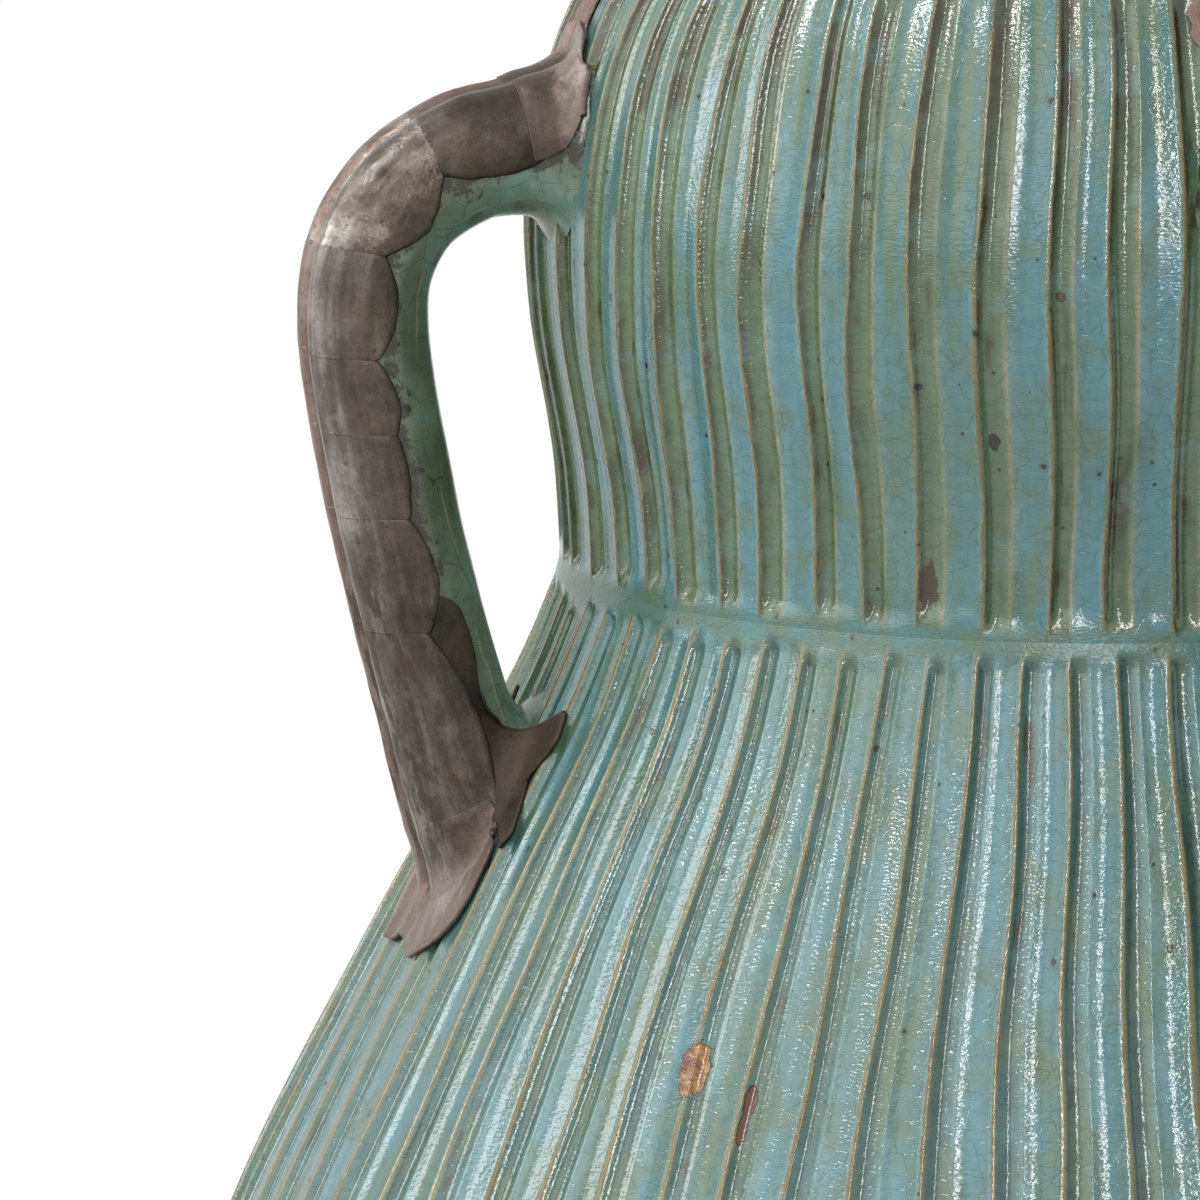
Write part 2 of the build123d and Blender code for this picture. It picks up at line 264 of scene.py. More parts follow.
# How far the ribs nearest the first handle stand from an even spacing
UPPER_DRIFT = (0.15, 0.21, 0.16, 0.04, 0.13, -0.04, 0.06, -0.16, -0.17, -0.11, 0.0, -0.13, -0.06)
LOWER_DRIFT = (
    -0.16, -0.18, -0.15, -0.01, 0.08, 0.14, 0.16, 0.14, 0.12, 0.08, 0.02, -0.04, -0.06, -0.08, -0.12, -0.16, -0.12,
)


def soft_step(value):
    """Rise smoothly from 0 to 1."""
    value = np.clip(value, 0, 1)
    return value * value * (3 - 2 * value)


class RibbedWall:
    """One thrown section of the jar: its outline, and the ribs that were combed into it."""

    def __init__(self, outline, ribs, phase, known_drift, ends, seed):
        rng = random.Random(seed)
        self.outline, self.ribs, self.ends = outline, ribs, ends
        self.start = math.pi + math.radians(phase)
        self.drift = np.array([rng.uniform(-DRIFT, DRIFT) for _ in range(ribs)])
        self.drift[: len(known_drift)] = known_drift
        self.wave = np.array([(rng.uniform(0, 2 * math.pi), rng.uniform(*WANDER_LENGTH)) for _ in range(ribs)])
        self.depth = RIB_DEPTH * np.array([rng.uniform(*DEPTH_SHARE) for _ in range(ribs)])
        self.ragged = RAGGED_END * np.array([(rng.uniform(0, 1), rng.uniform(0, 1)) for _ in range(ribs)])

    def crest(self, rib, height):
        """Where a rib's crest stands at some heights, counted in ribs from the first handle."""
        rib = np.asarray(rib)
        own = rib % self.ribs
        phase, length = self.wave[own].T
        return rib + self.drift[own] + WANDER * np.sin(2 * math.pi * height / length + phase)

    def groove(self, rib, share, height):
        """How deep the wall lies behind the crests, a share of the way across a rib."""
        own = rib % self.ribs
        low, high = self.ragged[own].T
        starts = soft_step((height - self.ends[0] - low) / END_FADE)
        fade = starts * soft_step((self.ends[1] - high - height) / END_FADE)
        section = np.interp(share, [*RIB_PLACE, 1.0], [*RIB_HEIGHT, 1.0])
        return self.depth[own] * fade * (1 - section)

    def radius(self, angle, height):
        """The wall's radius at any angle and height."""
        height = np.asarray(height, float)
        place = (np.asarray(angle) - self.start) / (2 * math.pi) * self.ribs
        rib = np.floor(place).astype(int) - 1
        for _ in range(2):
            rib = np.where(self.crest(rib + 1, height) <= place, rib + 1, rib)
        here, there = self.crest(rib, height), self.crest(rib + 1, height)
        return radius_at(self.outline, height) - self.groove(rib, (place - here) / (there - here), height)


lower_wall = RibbedWall(LOWER_WALL, 72, 0.3, LOWER_DRIFT, (70, 538.5), seed=7)
upper_wall = RibbedWall(UPPER_WALL, 56, 3.3, UPPER_DRIFT, (540.5, 683), seed=11)
print("lower wall on the first handle's side at 450 mm:", lower_wall.radius(math.pi, 450))


# %% Spin a wall
SHARP = math.radians(60)


def baked(name, bm):
    """Turn a bmesh into a mesh."""
    mesh = bpy.data.meshes.new(name)
    bm.to_mesh(mesh)
    bm.free()
    return mesh


def spun_shell(name, ribs, rows):
    """Spin a narrow sector of a closed profile, and double it until it goes all the way round."""
    doublings = 5
    sector = 2 * math.pi / 2**doublings
    bm = bmesh.new()
    profile = [bm.verts.new((radius * MM, 0, height * MM)) for height, radius in rows]
    for a, b in zip(profile, profile[1:]):
        bm.edges.new((a, b))
    bmesh.ops.spin(
        bm,
        geom=bm.verts[:] + bm.edges[:],
        cent=(0, 0, 0),
        axis=(0, 0, 1),
        angle=sector,
        steps=ribs * COLUMNS // 2**doublings,
        use_merge=False,
        use_duplicate=False,
    )
    for _ in range(doublings):
        copied = bmesh.ops.duplicate(bm, geom=bm.verts[:] + bm.edges[:] + bm.faces[:])["geom"]
        copied = [item for item in copied if isinstance(item, bmesh.types.BMVert)]
        bmesh.ops.rotate(bm, verts=copied, cent=(0, 0, 0), matrix=Matrix.Rotation(sector, 3, "Z"))
        sector *= 2
    bmesh.ops.remove_doubles(bm, verts=bm.verts[:], dist=0.02 * MM)
    bmesh.ops.recalc_face_normals(bm, faces=bm.faces[:])
    for face in bm.faces:
        face.smooth = True
    for edge in bm.edges:
        edge.smooth = edge.calc_face_angle(0) < SHARP
    return baked(name, bm)


def rows_between(outline, heights, inset=0):
    """Height and radius of the wall at some heights, on its crests or further in."""
    return [(float(z), float(r) - inset) for z, r in zip(heights, radius_at(outline, heights))]


lower_rows = [(0, 0), (0, LOWER_WALL[0][1] - FOOT_ROUND)]
lower_rows += rows_between(LOWER_WALL, [*np.arange(FOOT_ROUND, 380, 12), *np.arange(380, 525, 3), *np.arange(525, 541)])
lower_rows += rows_between(LOWER_WALL, [WAIST, 500, 450, 400, 350, 300, 235, 170, 110, 60, 30], SHELL)
lower_rows += [(FLOOR, LOWER_WALL[0][1] - SHELL), (FLOOR, 0)]
lower_mesh = spun_shell("lower_body_wall", lower_wall.ribs, lower_rows)
upper_rows = rows_between(UPPER_WALL, [*np.arange(WAIST, 555), *np.arange(555, BULB_TOP, 2.2), BULB_TOP])
upper_rows += [(BULB_TOP, MOUTH)]
upper_rows += rows_between(UPPER_WALL, [690, 680, 660, 640, 616, 590, 565, WAIST], SHELL)
upper_rows += [(WAIST, UPPER_WALL[0][1])]
upper_mesh = spun_shell("neck_bulb_wall", upper_wall.ribs, upper_rows)
print("spun:", len(lower_mesh.polygons), "and", len(upper_mesh.polygons), "faces")


# %% Comb a wall
# A thrown wall is uneven by a third of a millimetre, in waves about 50 mm long, and here it stays a little inside
# the solid that it stands for
UNEVEN = 0.35
UNEVEN_WAVES = 0.02
INSIDE_SOLID = 0.1


def read(collection, name, width=1):
    """Read one property of all the points or corners of a mesh into an array."""
    values = np.zeros(len(collection) * width, int if name in ("vertex_index", "loop_start") else float)
    collection.foreach_get(name, values)
    return values.reshape(-1, width) if width > 1 else values


def comb(mesh, wall):
    """Move the outer points of a spun wall in or out by the section of its ribs."""
    co = read(mesh.vertices, "co", 3) / MM
    radius = np.hypot(co[:, 0], co[:, 1])
    height = co[:, 2].copy()
    outside = radius > radius_at(wall.outline, height) - SHELL / 2
    columns = wall.ribs * COLUMNS
    column = np.round(np.arctan2(co[:, 1], co[:, 0]) / (2 * math.pi) * columns).astype(int) % columns
    rib, part = column // COLUMNS, column % COLUMNS
    here, there = wall.crest(rib, height), wall.crest(rib + 1, height)
    angle = wall.start + 2 * math.pi / wall.ribs * (here + RIB_PLACE[part] * (there - here))
    uneven = np.array([noise.noise(Vector(point) * UNEVEN_WAVES) for point in co]) * UNEVEN
    moved = radius - wall.groove(rib, RIB_PLACE[part], height) + np.minimum(uneven, 0) - INSIDE_SOLID
    moved = np.where(outside, moved, radius)
    new_co = np.stack([moved * np.cos(angle), moved * np.sin(angle), height], 1)
    on_axis = radius < 1
    new_co[on_axis] = co[on_axis]
    mesh.vertices.foreach_set("co", (new_co * MM).ravel())
    map_ribs(mesh, wall, rib + RIB_PLACE[part], height, outside)
    mesh.update()
    print(mesh.name, "has", wall.ribs, "ribs, crests up to", round(float(moved.max()), 1), "mm from the axis")


def map_ribs(mesh, wall, across, height, outside):
    """Write a map that counts ribs across and metres up, and give the faces inside the jar their own slot."""
    vertex = read(mesh.loops, "vertex_index")
    owner = np.searchsorted(read(mesh.polygons, "loop_start"), np.arange(len(vertex)), side="right") - 1
    across = across[vertex]
    highest = np.zeros(len(mesh.polygons))
    np.maximum.at(highest, owner, across)
    across = np.where(highest[owner] - across > wall.ribs / 2, across + wall.ribs, across)
    layer = mesh.uv_layers.new(name="ribs")
    layer.data.foreach_set("uv", np.stack([across, height[vertex] * MM], 1).ravel())
    inside = np.zeros(len(mesh.polygons), int)
    np.maximum.at(inside, owner, (~outside[vertex]).astype(int))
    mesh.polygons.foreach_set("material_index", inside)


comb(lower_mesh, lower_wall)
comb(upper_mesh, upper_wall)

# %% [markdown]
# ## The turquoise glaze
#
# The glaze is glassy and crackled. It ran off the crests, where the tan clay shows through, and pooled in the
# grooves, where it is green to olive with brown iron runs. The ribs' own map says how far across a rib a point
# lies, so a ramp of colours along it puts each colour where gravity left it on the real jar. On the bulb the olive
# and brown just past each crest are darker than the pooled glaze alone, as painted shade in the grooves. Thin net
# patterns give the crackle and small round cells give the iron specks.

# %% Colours of the glaze
TAN = paint(112, 98, 50)
PALE_TAN = paint(154, 147, 118)
BLUE = paint(86, 136, 144)
PALE_BLUE = paint(114, 153, 154)
TEAL = paint(77, 121, 117)
DEEP_TEAL = paint(62, 94, 87)
GREEN = paint(98, 122, 90)
# OLIVE and BROWN are darker than the pooled glaze and iron alone, so that they also paint the shade in the grooves
OLIVE = paint(65, 75, 48)
BROWN = paint(68, 58, 32)
DARK_BROWN = paint(46, 33, 24)
RED_CLAY = paint(98, 60, 30)
RUN_GREEN = paint(100, 122, 92)
RUN_BLUE = paint(100, 142, 140)
WORN_TAN = paint(132, 126, 88)

# Colours across a rib, from its crest over the groove to the next crest, where the glaze is thin and where it pooled.
# On the bulb the dark olive and brown just past each crest are partly pooled glaze and partly painted shade.
UPPER_THIN_WITH_PAINTED_SHADE = (
    (0.0, OLIVE), (0.04, OLIVE), (0.10, GREEN), (0.22, GREEN), (0.34, GREEN), (0.40, PALE_TAN), (0.45, PALE_BLUE),
    (0.62, BLUE), (0.90, BLUE), (0.96, PALE_BLUE), (1.0, PALE_TAN),
)
UPPER_POOLED_WITH_PAINTED_SHADE = (
    (0.0, BROWN), (0.06, BROWN), (0.16, OLIVE), (0.30, OLIVE), (0.40, GREEN), (0.55, TEAL), (0.70, GREEN),
    (0.82, TEAL), (0.96, TEAL), (1.0, GREEN),
)
LOWER_THIN = (
    (0.0, PALE_TAN), (0.03, TEAL), (0.08, TEAL), (0.18, DEEP_TEAL), (0.34, TEAL), (0.42, PALE_BLUE),
    (0.55, PALE_BLUE), (0.68, BLUE), (0.90, TEAL), (0.96, PALE_BLUE), (1.0, PALE_TAN),
)
LOWER_POOLED = (
    (0.0, GREEN), (0.06, DEEP_TEAL), (0.18, DEEP_TEAL), (0.36, GREEN), (0.46, TEAL), (0.64, GREEN), (0.90, TEAL),
    (1.0, GREEN),
)
# Colours of the plain band at the waist, of clay where the glaze is chipped, and of the bare foot
BAND = ((0.38, TEAL), (0.50, paint(82, 112, 102)), (0.62, paint(86, 112, 90)))
CHIPPED = ((0.36, paint(104, 66, 30)), (0.50, paint(146, 102, 52)), (0.64, paint(196, 150, 92)))
FOOT_CLAY = paint(122, 84, 62), paint(168, 126, 96)
print("colours across a rib:", len(UPPER_THIN_WITH_PAINTED_SHADE), len(UPPER_POOLED_WITH_PAINTED_SHADE), len(LOWER_THIN), len(LOWER_POOLED))


# %% Crackle and specks
def crackle(finish, place, weakest, ribs_map=None):
    """Fine dark lines: a net of small cells, and on the ribs short cracks straight across them."""
    shift = finish.noise(place, 5 * MM, detail=1, output=1)
    shift = finish.add("ShaderNodeVectorMath", {0: shift, 3: 1.6 * MM}, operation="SCALE")
    moved = finish.add("ShaderNodeVectorMath", (place, shift), operation="ADD")
    lines = finish.step(finish.net(moved, 7.5 * MM), 0.020, 0.004)
    strength = finish.step(finish.noise(place, 14 * MM, detail=1), 0.35, 0.6)
    lines = finish.times(lines, finish.scaled(strength, 0.35, weakest))
    if ribs_map:
        u, v = ribs_map
        bend = finish.noise(place, 6 * MM, detail=1)
        wave = finish.scaled(bend, 0.6, finish.math("DIVIDE", v, 3.4 * MM))
        across = finish.net(finish.vector(finish.times(u, 2.0), wave), 1, uneven=0.75, dimensions="2D")
        lines = finish.math("MAXIMUM", lines, finish.times(finish.step(across, 0.035, 0.008), 0.6))
    return lines


def specks(finish, where, size, share, spot, halo):
    """Round iron specks: a dark core and a wider stain, in a share of the cells."""
    values = {"Vector": where, "Scale": 1 / size, "Randomness": 1.0}
    distance = finish.add("ShaderNodeTexVoronoi", values, output="Distance", voronoi_dimensions="2D")
    cell = distance.node.outputs["Color"]
    pick, big = (finish.add("ShaderNodeSeparateColor", (cell,), output=chance) for chance in (0, 1))
    there = finish.step(pick, 1 - share, 1 - share + 0.02)
    distance = finish.math("DIVIDE", distance, finish.scaled(big, spot, spot * 0.4))
    dark = finish.times(finish.step(distance, 1.15, 0.75), there)
    stain = finish.times(finish.step(distance, halo, 0.8), there)
    return dark, stain


# %% Marks and chips
def marked(glaze, colour, pits, ribs_map, pitch, marks):
    """Lay marks and chips on the glaze, each with a ragged edge."""
    u, v = ribs_map
    place = glaze.place()
    ragged = glaze.noise(place, 2.5 * MM, detail=3, rough=0.7)
    chipped = glaze.ramp(glaze.noise(place, 3.5 * MM, detail=5, rough=0.7, twist=0.6), CHIPPED)
    for at, height, half_width, half_height, mark_colour, deep in marks:
        side = glaze.times(glaze.math("SUBTRACT", u, at), pitch / half_width)
        rise = glaze.math("DIVIDE", glaze.math("SUBTRACT", v, height * MM), half_height * MM)
        away = glaze.math("SQRT", glaze.math("ADD", glaze.math("POWER", side, 2.0), glaze.math("POWER", rise, 2.0)))
        mark = glaze.step(glaze.shaken(away, ragged, 1.3), 1.1, 0.9)
        colour = glaze.mix(mark, colour, mark_colour or chipped)
        pits = glaze.math("MAXIMUM", pits, glaze.times(mark, deep))
    return colour, pits


# %% The glaze on the ribbed walls
def ribbed_glaze(name, thin, pooled, pitch, run_from, bare_crest, marks):
    """The glaze on a combed wall. pitch is a rib's width, and above run_from the iron runs are strong."""
    glaze = Finish(name)
    place = glaze.place()
    ribs_map = glaze.add("ShaderNodeUVMap", uv_map="ribs")
    u, v = glaze.axis(ribs_map, 0), glaze.axis(ribs_map, 1)
    height = glaze.math("DIVIDE", v, MM)
    sideways = glaze.times(u, pitch)

    def drawn_out(length, size, detail=4, rough=0.5, x=u):
        """Noise that is drawn out down the ribs."""
        return glaze.noise(glaze.vector(x, glaze.math("DIVIDE", v, length * MM)), size, detail, rough)

    moved = glaze.shaken(u, glaze.noise(place, 11 * MM), 0.09)
    moved = glaze.shaken(moved, glaze.noise(place, 1.6 * MM, detail=1), 0.03)
    across = glaze.math("FRACT", moved)
    streak = drawn_out(55, 1.2, rough=0.65)
    high = glaze.step(v, run_from[0] * MM, run_from[1] * MM)
    where_pooled = glaze.step(glaze.scaled(high, 0.13, streak), 0.48, 0.64)
    colour = glaze.mix(where_pooled, glaze.ramp(across, thin), glaze.ramp(across, pooled))
    # the glaze did not run evenly: a groove changes from green to blue and back every few centimetres
    patches = drawn_out(20, 0.8, rough=0.6)
    colour = glaze.tint(colour, glaze.step(patches, 0.50, 0.62), 0.55, RUN_GREEN)
    colour = glaze.tint(colour, glaze.step(patches, 0.46, 0.36), 0.45, RUN_BLUE)
    colour = glaze.tint(colour, glaze.step(glaze.noise(place, 55 * MM, detail=3), 0.45, 0.75), 0.55, GREEN)
    mottle = glaze.noise(place, 3 * MM, detail=3, rough=0.65)
    colour = glaze.shaded(colour, glaze.scaled(mottle, 0.44, 0.67))
    # it ran off the crests, where it leaves a thin and broken line of tan clay
    from_crest = glaze.off(glaze.math("FRACT", glaze.math("ADD", moved, 0.5)), 0.5)
    worn = drawn_out(16, 0.8, rough=0.7)
    crest_line = glaze.step(glaze.math("DIVIDE", from_crest, glaze.scaled(worn, 0.045, bare_crest)), 1.25, 0.65)
    crest_line = glaze.times(crest_line, glaze.scaled(glaze.step(worn, 0.34, 0.52), 0.65, 0.30))
    colour = glaze.mix(crest_line, colour, glaze.mix(glaze.step(streak, 0.40, 0.62), TAN, WORN_TAN))
    # brown iron runs, long and narrow, sit in the grooves
    run = drawn_out(34, 0.5, detail=2, x=glaze.times(u, 1.3))
    groove = glaze.times(glaze.step(across, 0.04, 0.10), glaze.step(across, 0.36, 0.22))
    run = glaze.times(glaze.step(glaze.scaled(high, 0.12, run), 0.60, 0.72), groove)
    colour = glaze.tint(colour, run, 0.85, BROWN)
    # the comb stopped short of the waist, so the glaze is plain and mottled there
    from_waist = glaze.off(height, WAIST - 0.5)
    from_waist = glaze.shaken(from_waist, glaze.noise(glaze.vector(u, 0.0), 0.9, detail=1), 5.0)
    band = glaze.step(glaze.shaken(from_waist, mottle, 3.0), 4.2, 1.8)
    colour = glaze.mix(band, colour, glaze.ramp(glaze.noise(place, 9 * MM, detail=3, rough=0.6), BAND))
    # iron specks of two sizes, and what was knocked or burnt
    flat = glaze.vector(sideways, height)
    dark, stain = specks(glaze, flat, 13.0, 0.13, 0.048, 2.6)
    fine_dark, fine_stain = specks(glaze, flat, 7.0, 0.07, 0.05, 2.2)
    colour = glaze.tint(colour, glaze.math("MAXIMUM", stain, fine_stain), 0.4, OLIVE)
    colour = glaze.mix(glaze.math("MAXIMUM", dark, fine_dark), colour, DARK_BROWN)
    colour, pits = marked(glaze, colour, glaze.times(dark, 0.1), (u, v), pitch, marks)
    lines = crackle(glaze, place, 0.15, (u, v))
    colour = glaze.shaded(colour, glaze.scaled(lines, -0.42, 1.0))
    # the foot was wiped bare before firing, so the brown body of the clay shows there
    bare_edge = glaze.scaled(glaze.noise(place, 30 * MM, detail=3), 24 * MM, 14 * MM)
    bare = glaze.step(glaze.math("SUBTRACT", v, bare_edge), 1.5 * MM, -1.5 * MM)
    glaze.give("Base Color", glaze.mix(bare, colour, glaze.mix(mottle, *FOOT_CLAY)))
    wet = glaze.scaled(band, 0.16, glaze.scaled(mottle, 0.12, 0.07))
    glaze.give("Roughness", glaze.math("ADD", wet, glaze.times(bare, 0.5)))
    silk = drawn_out(0.42, 1.5, detail=2, x=sideways)
    relief = glaze.relief((silk, 0.12), (mottle, 0.08), (lines, -0.03))
    glaze.bump(glaze.math("SUBTRACT", relief, pits))
    print(name, "has", len(glaze.tree.nodes), "nodes")
    return glaze.material


# %% The two walls' glazes
# Marks seen on the walls: rib, height, half width, half height, colour, and how deep the glaze is chipped. Where no
# colour is given, the broken clay shows.
UPPER_MARKS = (
    (8.16, 551, 2.0, 5.5, BROWN, 0.0),
    (9.18, 584, 1.1, 2.0, DARK_BROWN, 0.0),
    (0.38, 569, 1.0, 2.0, DARK_BROWN, 0.0),
    (10.2, 616, 1.3, 1.3, BROWN, 0.0),
)
LOWER_MARKS = (
    (8.02, 449.9, 3.4, 5.6, None, 0.35),
    (9.13, 445.0, 1.2, 3.0, RED_CLAY, 0.30),
    (9.10, 440.0, 0.7, 4.4, RED_CLAY, 0.25),
)
upper_glaze = ribbed_glaze("turquoise_glaze_on_bulb", UPPER_THIN_WITH_PAINTED_SHADE, UPPER_POOLED_WITH_PAINTED_SHADE, 14.4, (630, 668), 0.004, UPPER_MARKS)
lower_glaze = ribbed_glaze("turquoise_glaze_on_body", LOWER_THIN, LOWER_POOLED, 14.0, (520, 760), 0.020, LOWER_MARKS)

# %% [markdown]
# ## Inside the jar, the rim and the handles' clay
#
# Inside, a storage jar is plain clay. The rim and the handles carry the same glaze as the walls but have no ribs.
# One finish could serve walls and handles, with the ribs' map faded out, but a plain one is easier to follow: its
# colour comes from soft clouds and from runs down the jar, and beside the metal it is stained brown.

# %% Plain glaze and bare clay
# Coordinates times these factors draw a pattern out down the jar, or lay it round the jar in rings
DOWNWARD = (1.0, 1.0, 0.16)
IN_RINGS = (0.03, 0.03, 1.0)
IN_BROAD_RINGS = (0.15, 0.15, 1.0)


def stained_by_metal(glaze, colour, cloud, streak, strength):
    """Brown stains that creep out from under a handle's sheets, and a pale line where a stain dried."""
    turn = glaze.math("ABSOLUTE", glaze.attribute("round"))
    ragged = glaze.noise(glaze.place(), 3.5 * MM, detail=5, rough=0.7)
    by_the_root = glaze.step(glaze.off(glaze.attribute("down"), 19.0), 9.0, 3.0)
    nearness = glaze.scaled(by_the_root, 0.10, glaze.step(turn, 0.68, 0.54))
    stain = glaze.step(glaze.scaled(nearness, 0.22, ragged), 0.62, 0.72)
    colour = glaze.tint(colour, stain, strength, paint(46, 36, 24))
    pale_line = glaze.step(glaze.off(glaze.scaled(cloud, 0.12, turn), 0.80), 0.014, 0.004)
    pale_line = glaze.times(pale_line, glaze.step(streak, 0.40, 0.55))
    return glaze.tint(colour, pale_line, 0.6, PALE_TAN)


def plain_glaze(name, tones, runs, stained=0.0, rings=0.0):
    """The crackle glaze where there are no ribs, with olive runs, and perhaps stains and rings from throwing."""
    glaze = Finish(name)
    place = glaze.place()
    cloud = glaze.noise(place, 26 * MM, detail=4, rough=0.6)
    colour = glaze.ramp(cloud, tuple(zip((0.36, 0.50, 0.64), tones)))
    streak = glaze.noise(glaze.squeezed(place, DOWNWARD), 5 * MM, detail=3, rough=0.6)
    colour = glaze.tint(colour, glaze.step(streak, 0.55, 0.72), runs, OLIVE)
    if stained:
        colour = stained_by_metal(glaze, colour, cloud, streak, stained)
    mottle = glaze.noise(place, 2.6 * MM, detail=3, rough=0.65)
    colour = glaze.shaded(colour, glaze.scaled(mottle, 0.36, 0.82))
    lines = crackle(glaze, place, 0.5)
    glaze.give("Base Color", glaze.shaded(colour, glaze.scaled(lines, -0.5, 1.0)))
    glaze.give("Roughness", glaze.scaled(mottle, 0.14, 0.14))
    ring = glaze.noise(glaze.squeezed(place, IN_RINGS), 3.0 * MM)
    glaze.bump(glaze.relief((mottle, 0.10), (lines, -0.03), (ring, rings)))
    print(name, "has", len(glaze.tree.nodes), "nodes")
    return glaze.material


def bare_clay(name):
    """Unglazed clay, with broad rings from throwing."""
    clay = Finish(name)
    place = clay.place()
    ring = clay.noise(clay.squeezed(place, IN_BROAD_RINGS), 4 * MM, detail=3)
    grain = clay.noise(place, 1.2 * MM)
    colour = clay.ramp(ring, ((0.3, paint(118, 92, 70)), (0.7, paint(150, 122, 94))))
    clay.give("Base Color", clay.tint(colour, grain, 0.4, paint(96, 72, 54)))
    clay.give("Roughness", 0.75)
    clay.bump(clay.relief((grain, 0.15), (ring, 0.5)))
    return clay.material


HANDLE_GREENS = paint(110, 144, 132), paint(102, 118, 96), paint(86, 94, 70)
rim_glaze = plain_glaze("turquoise_glaze_on_rim", (BLUE, TEAL, GREEN), 0.7, rings=0.9)
handle_glaze = plain_glaze("green_glaze_on_handles", HANDLE_GREENS, 0.6, stained=0.9)
inside_clay = bare_clay("clay_inside")


# %% Put the walls in place
def placed(name, data):
    """Put a mesh, a lamp or a camera in the scene, at the origin."""
    item = bpy.data.objects.new(name, data)
    bpy.context.scene.collection.objects.link(item)
    return item


def dress(piece, node, slot, *finishes):
    """Give a piece its finishes, and let it stand for a node of the packed jar."""
    for finish in finishes:
        piece.data.materials.append(finish)
    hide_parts(node)
    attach(piece, "root")


dress(placed("lower_body_ribbed", lower_mesh), "lower_body", "turquoise_glaze", lower_glaze, inside_clay)
dress(placed("neck_bulb_ribbed", upper_mesh), "neck_bulb", "turquoise_glaze", upper_glaze, inside_clay)
for slot in nodes["mouth_rim"].material_slots:
    slot.material = rim_glaze
print("walls in place:", lower_mesh.name, "and", upper_mesh.name)

# %% [markdown]
# ## Aged metal
#
# The sheets were beaten on to the handles and have gone brown and lavender grey, satin where hands have
# rubbed them, streaked lengthwise and pitted with dark spots. The sheet over the bend is paler than its rubbed
# polish alone would make it, which paints in part of the bend's highlight. The dark patches in the crooks are
# smoother and browner. Every stain could be painted by hand, but stains that follow the handle, by how far down
# and how far round it a point lies, fit all four handles at once.

# %% The metal
HALF_GIRTH = 44.0  # millimetres on a handle's skin, from its outer line round to its inner line
ALL_THE_WAY = 1000.0  # further down than any handle, where no scale is wanted


def aged_metal(
    name, dark, middle, pale, shine, mottle_from=ALL_THE_WAY, streaks=0.2, tarnish=0.0, bare=0.25, dents=0.0
):
    """Beaten metal; its streaks run down the handle, and below mottle_from it is spotted with dark scale.

    tarnish is how strongly the top leaf is darkened where it leaves the dark arch sheet, and bare is the share of
    metal that shows through the skin of oxide. dents are small and break up the highlights.
    """
    dark, middle, pale = paint(*dark), paint(*middle), paint(*pale)
    metal = Finish(name, ior=1.4)
    place = metal.place()
    down, turn = metal.attribute("down"), metal.attribute("round")
    own = metal.axis(place, 0)
    girth = metal.times(turn, HALF_GIRTH)

    def drawn_out(share, size, detail, rough):
        """Noise that is drawn out down the handle."""
        return metal.noise(metal.vector(girth, metal.times(down, share), own), size, detail, rough)

    streak = drawn_out(0.10, 2.6, 4, 0.6)
    cloud = metal.noise(place, 16 * MM, detail=4, rough=0.6)
    tone = metal.scaled(streak, streaks, metal.times(cloud, 1.0 - streaks))
    # the rolls are rubbed pale, the flanks are darker, and the far roll is browner
    flank = metal.step(metal.math("ABSOLUTE", turn), 0.22, 0.50)
    tone = metal.scaled(flank, -0.10, metal.math("ADD", tone, 0.03))
    colour = metal.ramp(tone, ((0.36, dark), (0.52, middle), (0.66, pale)))
    brown = metal.times(metal.step(turn, 0.24, 0.38), metal.step(cloud, 0.36, 0.56))
    colour = metal.tint(colour, brown, 0.5, paint(76, 64, 50))
    colour = metal.tint(colour, metal.step(turn, -0.03, -0.08), 0.55, paint(122, 98, 84))
    # the top leaf is tarnished beside the arch sheet, with a ragged edge, and the foot is browner
    beside_arch = metal.scaled(metal.noise(place, 6 * MM, detail=4, rough=0.65), 14.0, down)
    colour = metal.tint(colour, metal.step(beside_arch, 45.5, 39.5), tarnish, paint(62, 51, 43))
    root = metal.step(down, 193, 203)
    colour = metal.tint(colour, root, 0.45, paint(118, 96, 86))
    # dark scale, small pits and grime
    scale = metal.step(drawn_out(0.28, 3.0, 5, 0.65), 0.48, 0.56)
    spotted = metal.times(scale, metal.step(down, mottle_from, mottle_from + 25))
    spotted = metal.times(spotted, metal.scaled(root, -0.8, 1.0))
    colour = metal.tint(colour, spotted, 0.85, paint(68, 56, 48))
    pitted = metal.step(metal.noise(place, 1.4 * MM), 0.66, 0.73)
    colour = metal.tint(colour, pitted, 0.6, dark)
    grime = metal.noise(place, 1.5 * MM, detail=5, rough=0.75)
    metal.give("Base Color", metal.shaded(colour, metal.scaled(grime, 1.3, 0.35)))
    metal.give("Roughness", metal.scaled(spotted, 0.12, metal.scaled(cloud, 0.22, shine)))
    metal.give("Metallic", bare)
    layers = [(streak, 0.10), (metal.noise(place, 8 * MM, detail=1), 0.8), (grime, 0.14), (pitted, -0.05)]
    if dents:
        layers.append((metal.noise(place, 3.2 * MM, detail=3, rough=0.6), dents))
    metal.bump(metal.relief(*layers, (spotted, -0.05)))
    print(name, "has", len(metal.tree.nodes), "nodes")
    return metal.material


arch_metal = aged_metal("dark_metal_sheets", (38, 29, 22), (68, 58, 50), (106, 97, 91), 0.24)
